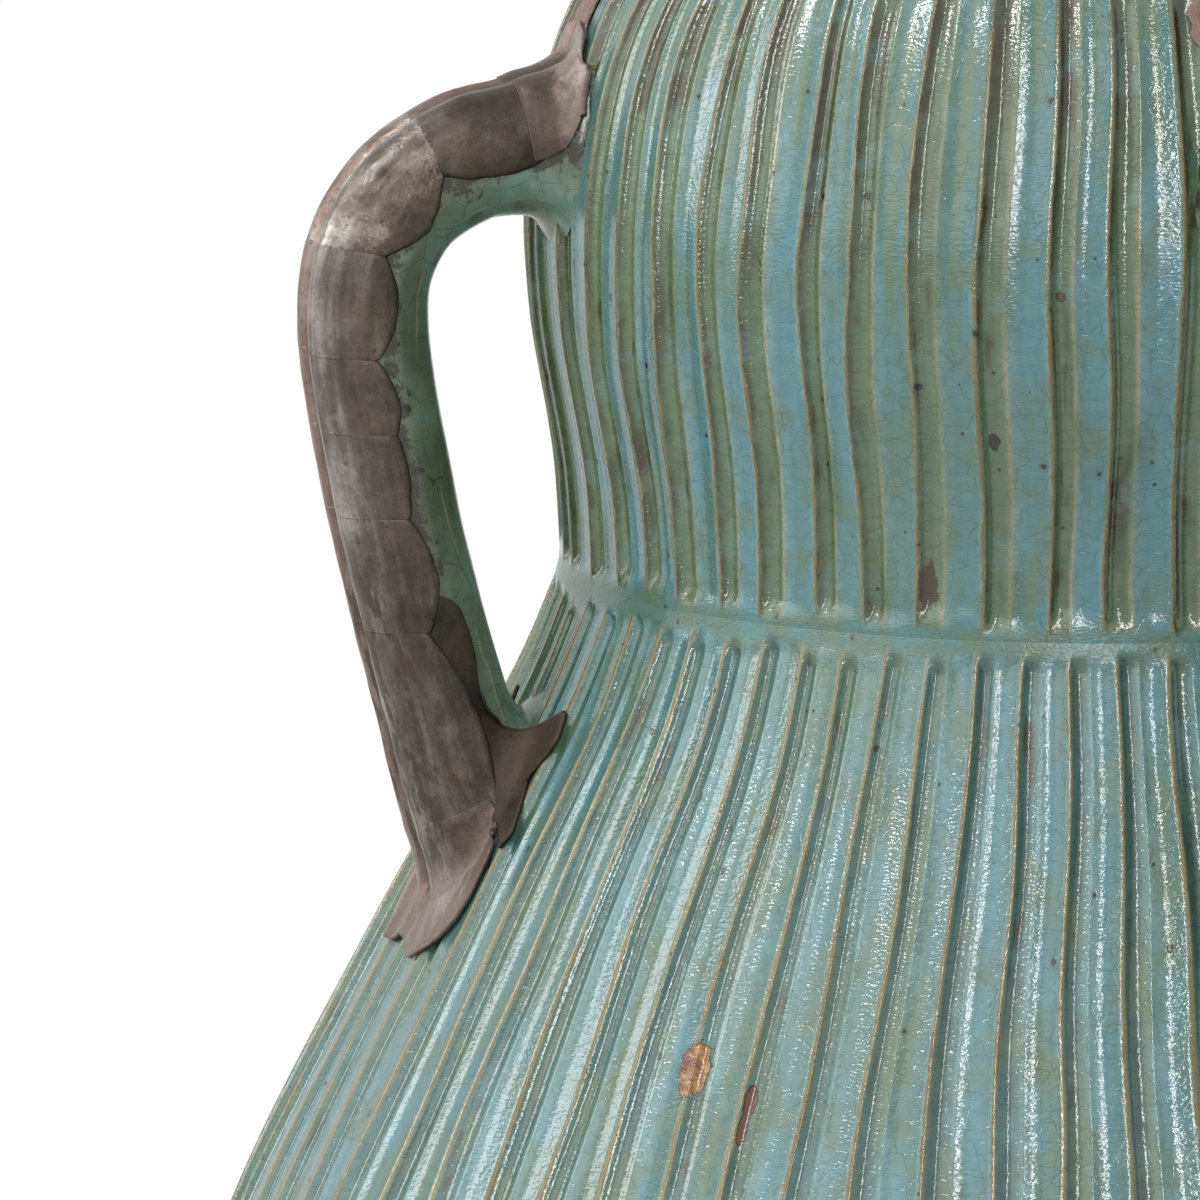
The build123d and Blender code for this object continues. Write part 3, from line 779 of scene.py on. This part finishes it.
# The bend sheet is paler than rubbing alone would make it: part of its highlight is painted into its colour
bend_metal = aged_metal(
    "rubbed_metal_with_painted_highlight", (62, 53, 46), (112, 104, 97), (176, 170, 164), 0.03, bare=0.55, dents=0.30
)
grip_metal = aged_metal(
    "grey_metal_sheets", (58, 49, 42), (99, 91, 85), (148, 141, 137), 0.22, mottle_from=120.0, streaks=0.45
)
patch_metal = aged_metal("brown_metal_patches", (24, 18, 10), (34, 26, 16), (46, 36, 25), 0.42)
leaf_metal = aged_metal(
    "pale_metal_leaves", (88, 72, 61), (130, 113, 105), (156, 143, 138), 0.26, streaks=0.25, tarnish=0.9
)
strip_metal = aged_metal("brown_metal_leaves", (84, 68, 58), (118, 101, 92), (150, 138, 134), 0.30, streaks=0.5)

# %% [markdown]
# ## A loop handle
#
# On the real jar each handle was pulled as a bar with two rolls side by side, bent into a loop and luted on with
# its roots in the bulb and the shoulder. Its skin is described once, as a route with a section that grows towards
# the roots, and every piece on the handle is then laid on that skin: so the sheets follow the clay everywhere.
# A bevelled curve could give a bar too, but not one whose section changes shape on the way.

# %% The route and the section of a handle
# Distance from the jar's axis, height, half depth and half width
HANDLE_ROUTE = (
    (111.9, 640.9, 16.2, 16.1), (126.6, 639.4, 15.1, 14.7), (136.7, 638.0, 14.4, 13.7), (147.2, 635.8, 14.0, 13.4),
    (160.6, 627.3, 13.7, 13.4), (168.0, 614.3, 13.7, 13.4), (169.6, 600.0, 13.7, 13.4), (167.7, 583.1, 13.7, 13.4),
    (162.5, 555.9, 13.7, 13.4), (157.5, 535.0, 13.7, 13.4), (151.7, 513.1, 14.1, 13.9), (145.2, 492.0, 15.1, 15.5),
    (137.1, 474.9, 16.2, 16.9), (129.0, 459.7, 16.4, 17.4),
)
# Half of the section, outward and sideways, in shares of the half depth and half width: two rolls and a valley
HANDLE_SECTION = (
    (0.80, 0.0), (0.87, 0.12), (0.975, 0.26), (1.0, 0.42), (0.87, 0.67), (0.50, 0.90), (0.08, 1.0), (-0.40, 0.92),
    (-0.80, 0.60), (-0.96, 0.27), (-1.0, 0.0),
)
HANDLE_ANGLES = {"right": 0, "back": 90, "left": 180, "front": 270}
ROOT_SWELL = 2.6
ROOT_REACH = 8.0


def walked(line):
    """Return how far along a line each of its points lies."""
    return np.concatenate([[0.0], np.cumsum(np.hypot(*np.diff(line, axis=0).T))])


def unit(vectors):
    return vectors / np.linalg.norm(vectors, axis=-1, keepdims=True)


route = smooth_line(HANDLE_ROUTE, 600)
route_place = walked(route[:, :2])
route_run = unit(np.gradient(route[:, :2], axis=0))
section = smooth_line(HANDLE_SECTION, 200)
section_place = walked(section) / walked(section)[-1]
section_run = np.gradient(section, axis=0)
section_out = unit(np.stack([section_run[:, 1], -section_run[:, 0]], 1))
print("a handle's skin is", round(route_place[-1]), "mm long")


# %% The skin of a handle
def along(place, table):
    """Read the columns of a table that goes with the route."""
    return [np.interp(place, route_place, column) for column in table.T]


def handle_skin(place, turn, extra=0.0):
    """Points on a handle's skin. place runs down the handle in millimetres; turn is 0 outside and 1 or -1 inside."""
    reach, height, deep, wide = along(place, route)
    run_reach, run_height = along(place, route_run)
    u, v = (np.interp(np.abs(turn), section_place, column) for column in section.T)
    out_u, out_v = (np.interp(np.abs(turn), section_place, column) for column in section_out.T)
    outward = deep * u + extra * out_u
    sideways = np.sign(turn) * (wide * v + extra * out_v)
    return np.stack([reach - run_height * outward, sideways, height + run_reach * outward], -1)


def crest_at(height):
    """The radius over the ribs, of the bulb above the waist and of the body below it."""
    return np.where(height > WAIST, radius_at(UPPER_WALL, height), radius_at(LOWER_WALL, height))


def clearance(points):
    """How far points in a handle's own frame stand off the wall's crests."""
    return np.hypot(points[..., 0], points[..., 1]) - crest_at(points[..., 2])


def padded_skin(place, turn, extra=0.0):
    """The handle's skin with the slip that was smoothed into the corner at the wall, and perhaps a sheet on it."""
    near = np.clip(1 - clearance(handle_skin(place, turn)) / ROOT_REACH, 0, 1)
    return handle_skin(place, turn, extra + ROOT_SWELL * near**2)


def contact(turns, first, last, lift):
    """Where on its route the handle's skin, lifted a little, meets the wall, between two places."""
    places = np.linspace(first, last, 300)
    found = []
    for turn in turns:
        off = clearance(padded_skin(places, np.full(300, turn), lift)) - lift
        # the crossing on the side of the loop counts, which comes last at the top root and first at the foot
        crossing = np.nonzero(np.diff(np.sign(off)))[0]
        found.append(places[crossing[-1] if last < 100 else crossing[0]])
    return np.array(found)


def on_wall(sideways, height, lift):
    """Points over the crests in a handle's own frame."""
    out = np.sqrt((crest_at(height) + lift) ** 2 - sideways**2)
    return np.stack([out, sideways, height], -1)


print("the loop stands", round(float(clearance(handle_skin(np.array(100.0), np.array(1.0))))), "mm off the wall")


# %% Paths from handle to wall
CORNER = 3  # over how many millimetres a path leaves the handle's skin for the wall


def spread(start, border, outline, far, lift, belly=1.0, tuck=0.5):
    """Points on paths that run over the handle's skin and on over the wall.

    start and border are place and turn on the handle, outline is sideways and height on the wall, and far is the
    share of the way. A belly over 1 keeps the path wide until it is near the border. The first sixth of a path is
    tucked a little deeper, under the sheet that comes before.
    """
    reached = padded_skin(*border, lift)
    on_handle = np.hypot(border[0] - start[0], HALF_GIRTH * (border[1] - start[1]))
    on_jar = np.hypot(outline[0] - reached[:, 1], outline[1] - reached[:, 2])
    way = far * (on_handle + on_jar)
    first = np.clip(way / on_handle, 0, 1)
    last = np.clip((way - on_handle) / np.maximum(on_jar, 0.01), 0, 1)
    place = start[0] + (border[0] - start[0]) * first
    turn = start[1] + (border[1] - start[1]) * first**belly
    points = padded_skin(place, turn, lift - tuck * (1 - soft_step(far * 6)))
    end = reached + soft_step(on_jar / CORNER)[:, None] * (on_wall(*outline, lift) - reached)
    points = points + last[:, None] * (end - reached)
    pushed_out = np.maximum(1, (crest_at(points[:, 2]) + lift) / np.hypot(points[:, 0], points[:, 1]))
    points[:, :2] *= pushed_out[:, None]
    return points


def lumps(points, size, seed):
    """Slow unevenness of hand work, from -1 to 1."""
    shift = Vector((seed * 7.3, seed * 3.1, seed * 5.7))
    values = [noise.noise(Vector(point) / size + shift) for point in points.reshape(-1, 3)]
    return np.array(values).reshape(points.shape[:-1])


def turned(points, side):
    """Turn points from a handle's own frame (out, sideways, up) to its side of the jar."""
    angle = math.radians(HANDLE_ANGLES[side])
    out, sideways, up = np.moveaxis(points, -1, 0)
    x = out * math.cos(angle) - sideways * math.sin(angle)
    y = out * math.sin(angle) + sideways * math.cos(angle)
    return np.stack([x, y, up], -1)


print("the left handle points along", turned(np.array([1.0, 0.0, 0.0]), "left").round(3))

# %% [markdown]
# ## Laying sheets on a skin
#
# A thin sheet starts as a flat grid. Each point of the grid is carried to its place on the jar, and the grid is
# then given a thickness. The points lie closer together near the border, so that the edge can roll down softly
# on to the clay, the way beaten metal does. Two attributes stay on the points for the finishes: how far down the
# handle a point lies, and how far round it.

# %% Make a sheet or a tube of clay
CROWDING = 0.09  # how far the lines of a grid crowd towards its border, as a share of its width


def laid_grid(name, columns, rows, lay, thickness=0.0, flip=False, closed=False, rubs=0):
    """Carry a flat grid to its place with lay(across, down), which gives points, places and turns.

    rubs is how often the inner points are averaged with their neighbours, like a thumb that rubs a corner round.
    """
    bm = bmesh.new()
    bmesh.ops.create_grid(bm, x_segments=columns, y_segments=rows, size=0.5)
    flat = np.array([vert.co[:2] for vert in bm.verts]) + 0.5
    if not closed:
        flat = flat - CROWDING * np.sin(2 * math.pi * flat)
    points, places, turns = lay(flat[:, 0], flat[:, 1])
    down = bm.verts.layers.float.new("down")
    round_it = bm.verts.layers.float.new("round")
    for vert, point, place, turn in zip(bm.verts, points * MM, places, turns):
        vert.co = point
        vert[down] = place
        vert[round_it] = turn
    if closed:
        bmesh.ops.remove_doubles(bm, verts=bm.verts[:], dist=0.01 * MM)
        bmesh.ops.holes_fill(bm, edges=[edge for edge in bm.edges if edge.is_boundary], sides=0)
        bmesh.ops.recalc_face_normals(bm, faces=bm.faces[:])
    if flip:
        bmesh.ops.reverse_faces(bm, faces=bm.faces[:])
    inner = [vert for vert in bm.verts if not vert.is_boundary]
    for _ in range(rubs):
        bmesh.ops.smooth_vert(bm, verts=inner, factor=0.5, use_axis_x=True, use_axis_y=True, use_axis_z=True)
    for face in bm.faces:
        face.smooth = True
    piece = placed(name, baked(name, bm))
    if thickness:
        solid = piece.modifiers.new("thickness", "SOLIDIFY")
        solid.thickness = thickness * MM
    return piece


def joined(pieces):
    """Put several meshes into the first one."""
    bm = bmesh.new()
    for piece in pieces:
        bm.from_mesh(piece.data)
    bm.to_mesh(pieces[0].data)
    bm.free()
    for piece in pieces[1:]:
        bpy.data.objects.remove(piece)
    return pieces[0]


print("a grid's first lines are at 0 and", round(1 / 40 - CROWDING * math.sin(2 * math.pi / 40), 4), "instead of 0.025")

# %% [markdown]
# ## The clay of the handles
#
# Where a handle meets the wall, the maker smoothed extra slip into the corner, so the skin swells near the wall.
# Inside the wall the bar simply ends, out of sight. Under each root a thumb drew a fillet of slip from the handle
# on to the ribs. It is a small sheet of its own here, laid from flank to flank and then rubbed round by averaging
# its points, because a thumb does just that to wet clay.

# %% The clay bars
BURIED = 5.5  # how deep the bar goes on behind the crests, out of sight
SLIP_REACH = 6.0  # how far a fillet runs out over the ribs
SLIP_LIFT = 0.4
SLIP_START = 11  # how far down the handle from the wall a fillet starts


def clay_bar(side, seed):
    """The bar of a handle, with the slow unevenness of pulled clay."""

    def lay(across, down):
        turn = 2 * across - 1
        place = down * route_place[-1]
        points = padded_skin(place, turn, 0.25 * lumps(handle_skin(place, turn), 13, seed))
        buried = np.maximum(1, (crest_at(points[:, 2]) - BURIED) / np.hypot(points[:, 0], points[:, 1]))
        points[:, :2] *= buried[:, None]
        return turned(points, side), place, turn

    return laid_grid(side + "_handle_clay", 56, 120, lay, closed=True)


def slip_in_corner(side, search, centre, widest, away, seed):
    """The slip that was smoothed into the corner under a root, from one flank round the inside to the other."""
    turns = np.linspace(widest, 1, 60)
    contacts = contact(turns, *search, SLIP_LIFT)

    def lay(across, down):
        round_it = widest + 2 * (1 - widest) * across
        turn = np.where(round_it <= 1, round_it, round_it - 2)
        border = np.interp(np.abs(turn), turns, contacts)
        reached = padded_skin(border, turn, SLIP_LIFT)
        sideways, rise = reached[:, 1], reached[:, 2] - centre
        middle = np.sin(math.pi * across)
        wider = 1 + SLIP_REACH * middle / np.hypot(sideways, rise)
        # the fillet's edges sink into the skin and into the ribs, and its two ends do too
        lift = SLIP_LIFT - np.where(down < 0.5, 0.9, 2.3) * np.abs(2 * down - 1) ** 3
        lift = lift - 0.9 * (1 - middle) ** 4
        first = border + away * SLIP_START, turn
        points = spread(first, (border, turn), (sideways * wider, centre + rise * wider), down, lift, tuck=0.0)
        points[:, 2] += 0.2 * lumps(points, 5, seed)
        return turned(points, side), border, np.abs(turn)

    return laid_grid(side + "_slip", 44, 20, lay, flip=away < 0, rubs=24)


# The two stretches of the route in which a handle meets the wall
TOP_ROOT = (4, 60)
FOOT_ROOT = (150, 226)

for seed, side in enumerate(HANDLE_ANGLES):
    low_slip = slip_in_corner(side, FOOT_ROOT, 490, 0.74, -1, seed)
    top_slip = slip_in_corner(side, TOP_ROOT, 645, 0.50, 1, seed + 8)
    dress(joined([clay_bar(side, seed), low_slip, top_slip]), side + "_handle", "green_glaze", handle_glaze)
print("clay bars:", len(HANDLE_ANGLES))

# %% [markdown]
# ## The sheets that wrap the handles
#
# Seven sheets follow each other down a handle. Each was cut by eye, so its inner edge bulges between the seams
# and wavers, and each was beaten with a small hammer that left it slightly faceted. They could be cut out of the
# handle's own skin, but a sheet that is laid on it keeps its thickness and can roll down softly at its edges.

# %% The wrapped sheets
# Name, the seam's place outside and on the flank, how far round the seam ends, and how far round the bulge goes
SEAMS = (
    ("arch_sheet", 19.0, 20.6, 0.545, 0.590),
    ("bend_sheet", 41.5, 44.2, 0.470, 0.625),
    ("grip_sheet_1", 67.5, 65.0, 0.485, 0.600),
    ("grip_sheet_2", 85.5, 88.0, 0.480, 0.565),
    ("grip_sheet_3", 101.5, 105.0, 0.525, 0.550),
    ("grip_sheet_4", 120.5, 124.3, 0.505, 0.580),
    ("foot_sheet", 146.5, 151.0, 0.465, 0.600),
    ("end", 192.5, 193.4, 0.530, 0.530),
)
SHEET = 1.2  # how high a sheet's face stands over the clay
METAL = 0.95  # how thick it is
OVERLAP = 0.6
WAVER = 0.010
EDGE_ROLL, EDGE_WIDTH = 0.45, 1.2
SEAM_ROLL, SEAM_WIDTH = 0.25, 0.9
SHEET_WIDTH = 50  # from one flank's edge to the other's, roughly


def wrapped_sheet(side, number, seed):
    """One of the seven sheets, from its seam to the next one."""
    name, outer, inner, seam_turn, bulge = SEAMS[number]
    next_outer, next_inner, next_turn = SEAMS[number + 1][1:4]
    length = next_outer - outer
    overlap = OVERLAP if number else 0.0

    def lay(across, down):
        middle = 4 * bulge - seam_turn - next_turn
        reach = seam_turn * (1 - down) ** 2 + middle * down * (1 - down) + next_turn * down**2
        steps = zip(down * length / 12 * 3.1 + number * 9, np.sign(across - 0.5))
        waver = np.array([noise.noise(Vector((step, hand, seed))) for step, hand in steps])
        turn = (2 * across - 1) * (reach + WAVER * waver)
        share = (np.abs(turn) / 0.5) ** 1.5
        start = outer - overlap + (inner - outer) * share
        place = start + down * (next_outer + (next_inner - next_outer) * share - start)
        at_edge = 1 - np.clip(np.minimum(across, 1 - across) * SHEET_WIDTH / EDGE_WIDTH, 0, 1)
        at_seam = 1 - np.clip(np.minimum(down, 1 - down) * length / SEAM_WIDTH, 0, 1)
        roll = EDGE_ROLL * at_edge**2 + SEAM_ROLL * at_seam**2 * soft_step((np.abs(turn) - 0.30) / 0.25)
        extra = SHEET - roll + 0.20 * lumps(handle_skin(place, turn), 7, seed)
        return turned(padded_skin(place, turn, extra), side), place, turn

    return laid_grid(f"{side}_{name}_beaten", 44, max(16, int(length * 0.9)), lay, METAL, flip=True)


sheet_metals = {"arch_sheet": arch_metal, "bend_sheet": bend_metal}
for seed, side in enumerate(HANDLE_ANGLES):
    for number, (name, *_) in enumerate(SEAMS[:-1]):
        sheet = wrapped_sheet(side, number, seed * 10)
        dress(sheet, f"{side}_{name}", "aged_metal", sheet_metals.get(name, grip_metal))
print("wrapped sheets:", len(HANDLE_ANGLES) * (len(SEAMS) - 1))

# %% [markdown]
# ## Leaves and patches at the roots
#
# The last sheets leave the handle and spread over the wall. Each is a flange: it starts on the handle's skin, dips
# into the corner and runs out to an outline that is drawn on the wall. A flat sheet could be shrinkwrapped on to
# both, but it would tear away in the corner, where these paths only bend. Near the wall a leaf sinks between the
# ribs on which it was beaten, while the dark patch in the crook bridges them smoothly.

# %% Flanges between handle and wall
# Sideways and height of points on the wall, from the near flank over the middle to the far flank
TOP_LEAF_EDGE = (
    (15.2, 646.3), (14.9, 648.5), (14.3, 651.5), (12.6, 656.0), (9.0, 660.8), (4.0, 664.2), (-1.7, 666.0),
    (-7.0, 665.5), (-11.0, 661.0), (-14.0, 655.0), (-14.9, 649.5), (-15.2, 646.3),
)
FOOT_LEAF_EDGE = (
    (17.4, 489.5), (20.6, 486.6), (22.6, 482.8), (23.4, 478.0), (23.5, 472.0), (21.2, 466.0), (15.4, 461.0),
    (9.0, 457.3), (2.5, 459.2), (-3.6, 460.6), (-8.5, 458.0), (-14.0, 458.8), (-19.0, 465.5), (-21.5, 473.0),
    (-21.0, 481.0), (-17.4, 489.5),
)


def sink_between_ribs(points, side, amount, lift):
    """Press the points near the wall into its grooves."""
    out, sideways, height = points.T
    angle = np.arctan2(sideways, out) + math.radians(HANDLE_ANGLES[side])
    angle = (angle - math.pi) % (2 * math.pi) + math.pi
    wall_radius = np.where(height > WAIST, upper_wall.radius(angle, height), lower_wall.radius(angle, height))
    groove = crest_at(height) - wall_radius
    near = soft_step(1.4 - (clearance(points) - lift) / CORNER)
    sunk = 1 - amount * near * groove / np.hypot(out, sideways)
    return points * np.stack([sunk, sunk, np.ones_like(sunk)], 1)


def leaf(name, side, edge, start, search, start_turn, wall_turn, belly, lift, seed):
    """A leaf that wraps a root of the handle and runs out on the ribs."""
    line = smooth_line(edge, 300)
    line_place = walked(line) / walked(line)[-1]
    turns = np.linspace(-wall_turn, wall_turn, 81)
    contacts = contact(turns, *search, lift)

    def lay(across, down):
        side_share = 1 - 2 * across
        border = np.interp(wall_turn * side_share, turns, contacts), wall_turn * side_share
        outline = [np.interp(across, line_place, column) for column in line.T]
        first = np.full_like(across, start), start_turn * side_share
        points = spread(first, border, outline, down, lift, belly, 0.6)
        points = sink_between_ribs(points, side, 0.75, lift)
        points[:, 0] += 0.2 * soft_step(down * 4) * lumps(points, 6, seed)
        return turned(points, side), start + down * 22, start_turn * side_share

    return laid_grid(f"{side}_{name}_beaten", 64, 40, lay, METAL, rubs=2)


for seed, side in enumerate(HANDLE_ANGLES):
    top_leaf = leaf("top_leaf", side, TOP_LEAF_EDGE, 23.5, TOP_ROOT, 0.545, 0.39, 2.5, 1.3, seed)
    foot_leaf = leaf("foot_leaf", side, FOOT_LEAF_EDGE, 189.5, FOOT_ROOT, 0.52, 0.50, 1.0, 1.6, seed + 5)
    dress(top_leaf, side + "_top_leaf", "aged_metal", leaf_metal)
    dress(foot_leaf, side + "_foot_leaf", "aged_metal", grip_metal)
print("leaves:", 2 * len(HANDLE_ANGLES))

# %% The strips above the leaves
# Height of points on a strip, and its left and right edge there
STRIP_EDGES = (
    (663.0, -13.5, 3.0), (667.0, -15.5, -0.5), (672.0, -16.6, -0.8), (677.0, -16.4, -2.5), (681.5, -14.0, -6.0),
)
STRIP_LIFT = 0.9
STRIP = 0.6


def top_strip(side, seed):
    """A narrow strip of metal that was pressed between the ribs above a leaf."""
    levels, left, right = np.array(STRIP_EDGES).T

    def lay(across, down):
        height = levels[0] + down * (levels[-1] - levels[0])
        low, high = np.interp(height, levels, left), np.interp(height, levels, right)
        sideways = low + across * (high - low) + 0.5 * np.sin(height * 1.3 + seed) * (2 * across - 1)
        points = on_wall(sideways, height, STRIP_LIFT)
        points = sink_between_ribs(points, side, 0.9, STRIP_LIFT)
        return turned(points, side), height, sideways / 14

    return laid_grid(side + "_top_strip_beaten", 26, 26, lay, STRIP)


for seed, side in enumerate(HANDLE_ANGLES):
    dress(top_strip(side, seed), side + "_top_strip", "aged_metal", strip_metal)
print("strips:", len(HANDLE_ANGLES))

# %% The patches in the crooks
# Down the upper part of a patch: where it starts under the foot sheet, and its border on the handle, place and turn
PATCH_ON_HANDLE = (
    (141.0, 141.5, 0.520), (143.0, 143.5, 0.590), (146.5, 146.5, 0.645), (151.0, 152.0, 0.668), (156.0, 157.5, 0.668),
    (161.0, 164.0, 0.645), (166.0, 169.5, 0.630), (170.0, 173.5, 0.655), (173.0, 176.5, 0.72), (175.5, 178.5, 0.78),
)
# Down the lower part: where it starts, how far round it reaches the wall, and its border there, sideways and height
PATCH_ON_WALL = (
    (177.0, 0.80, 12.0, 509.6), (178.5, 0.785, 17.0, 511.8), (180.5, 0.765, 21.8, 514.2), (182.0, 0.745, 23.6, 511.5),
    (183.5, 0.725, 24.6, 508.0), (185.5, 0.69, 22.8, 503.6), (187.5, 0.65, 21.2, 499.5), (189.5, 0.61, 23.2, 495.6),
    (191.0, 0.575, 24.9, 492.3), (192.5, 0.54, 26.6, 488.2), (193.5, 0.51, 25.0, 484.5),
)
PATCH = 0.8  # how thick a patch is, and how high it lies
UNDER_SHEET = 0.43


def crook_patch(side, hand, narrow, seed):
    """One flank's patch; hand is 1 on the near flank and -1 on the far one, which is narrower."""
    start, place, turn = np.array(PATCH_ON_HANDLE).T
    border = padded_skin(place, turn, PATCH)
    rows = np.stack([start, place, turn, border[:, 1], border[:, 2]], 1)
    start, turn, sideways, height = np.array(PATCH_ON_WALL).T
    place = contact(turn, *FOOT_ROOT, PATCH)
    reached = padded_skin(place, turn, PATCH)
    sideways = reached[:, 1] + (sideways - reached[:, 1]) * narrow
    rows = smooth_line(np.vstack([rows, np.stack([start, place, turn, sideways, height], 1)]), 300)

    def lay(across, down):
        start, place, turn, sideways, height = (np.interp(down, np.linspace(0, 1, 300), row) for row in rows.T)
        first = start, np.full_like(start, UNDER_SHEET)
        points = spread(first, (place, turn), (sideways, height), across, PATCH)
        points[:, 2] += 0.3 * lumps(points, 2.5, seed) * across
        points[:, 1] *= hand
        return turned(points, side), start, UNDER_SHEET + 0.4 * across

    return laid_grid(f"{side}_root_patch_smoothed", 22, 80, lay, PATCH, flip=hand > 0, rubs=40)


for seed, side in enumerate(HANDLE_ANGLES):
    near = crook_patch(side, 1, 1.0, seed)
    far = crook_patch(side, -1, 0.3, seed + 4)
    dress(joined([near, far]), side + "_root_patch", "brown_metal", patch_metal)
print("patches:", len(HANDLE_ANGLES))

# %% [markdown]
# ## Floor, light and camera
#
# The jar stands on a plain pale floor in front of white. The world shows white to the camera and to reflections,
# and much less to the diffuse light, so the background stays white while the clay keeps its colour. A large soft
# lamp on the left lights the jar as a window would. A tall narrow one above the camera draws the bright lines down
# the ribs, and two small ones beside and behind the jar put light on the rolls of the handle and on the left edge.
# The camera stands where the photograph was taken: two metres away with a long lens, a little above the bulb.

# %% The floor
FLOOR_RADIUS = 1.3
# Between these distances from the jar, in metres, the floor turns into the white background
FLOOR_FADE = (0.7, 1.2)
bm = bmesh.new()
bmesh.ops.create_circle(bm, cap_ends=True, segments=128, radius=FLOOR_RADIUS)
floor = placed("floor", baked("floor", bm))
ground = Finish("pale_floor")
ground.give("Roughness", 0.9)
ground.give("Base Color", (0.86, 0.86, 0.85, 1))
away = ground.add("ShaderNodeVectorMath", (ground.place(),), operation="LENGTH", output=1)
white = ground.add("ShaderNodeEmission")
surface = ground.add("ShaderNodeMixShader", (ground.step(away, *FLOOR_FADE), ground.shader.outputs[0], white))
ground.join(ground.tree.nodes["Material Output"].inputs["Surface"], surface)
floor.data.materials.append(ground.material)
print("floor:", 2 * FLOOR_RADIUS, "m across")

# %% The light
SKY_ON_CLAY = 0.17  # strength of the white world on everything that isn't the camera or a reflection
world = bpy.data.worlds.new("studio")
bpy.context.scene.world = world
world.use_nodes = True
sky = Bench(world.node_tree)
seen = sky.add("ShaderNodeLightPath", output="Is Camera Ray")
rays = seen.node.outputs
for kind in ("Is Glossy Ray", "Is Transmission Ray"):
    seen = sky.math("MAXIMUM", seen, rays[kind])
strength = sky.add("ShaderNodeMapRange", {0: seen, "To Min": SKY_ON_CLAY, "To Max": 1.0})
background = sky.tree.nodes["Background"]
sky.join(background.inputs["Color"], (1, 1, 1, 1))
sky.join(background.inputs["Strength"], strength)

LAMPS_AIM = Vector((0, 0, 0.5))
# Name, direction and height in degrees, distance, width and height in metres, and watts
SOFTBOXES = (
    ("key_softbox", -74, 30, 3.4, 3.2, 3.2, 46),
    ("strip_softbox", -18, 28, 2.2, 0.12, 1.9, 20),
    ("side_softbox", -85, 50, 2.2, 0.2, 0.55, 15),
    ("rim_softbox", -122, 20, 2.6, 0.6, 1.6, 16),
)


def softbox(name, azimuth, elevation, distance, width, height, power):
    """A square lamp that looks at the bulb."""
    lamp = bpy.data.lights.new(name, "AREA")
    lamp.shape = "RECTANGLE"
    lamp.size, lamp.size_y, lamp.energy = width, height, power
    lamp_object = placed(name, lamp)
    a, e = math.radians(azimuth), math.radians(elevation)
    back = Vector((math.sin(a) * math.cos(e), -math.cos(a) * math.cos(e), math.sin(e)))
    lamp_object.location = LAMPS_AIM + back * distance
    lamp_object.rotation_euler = (-back).to_track_quat("-Z", "Y").to_euler()
    lamp_object.visible_camera = False


for lamp_facts in SOFTBOXES:
    softbox(*lamp_facts)
print("lamps:", len(SOFTBOXES))

# %% The camera
CAMERA_PLACE = Vector((-0.64347, -1.86878, 0.84597))
CAMERA_LOOKS = Vector((0.26835634, 0.95027498, -0.15799473))
camera_data = bpy.data.cameras.new("camera")
camera_data.lens = 260.87
camera_data.sensor_width = 36
camera = placed("camera", camera_data)
forward = CAMERA_LOOKS.normalized()
right = forward.cross(Vector((0, 0, 1))).normalized()
above = right.cross(forward)
facing = Matrix((right, above, -forward)).transposed()
camera.matrix_world = Matrix.Translation(CAMERA_PLACE) @ facing.to_4x4()
bpy.context.scene.camera = camera
bpy.context.scene.view_settings.view_transform = "Standard"
print("camera:", round(CAMERA_PLACE.to_2d().length, 2), "m from the jar's axis")
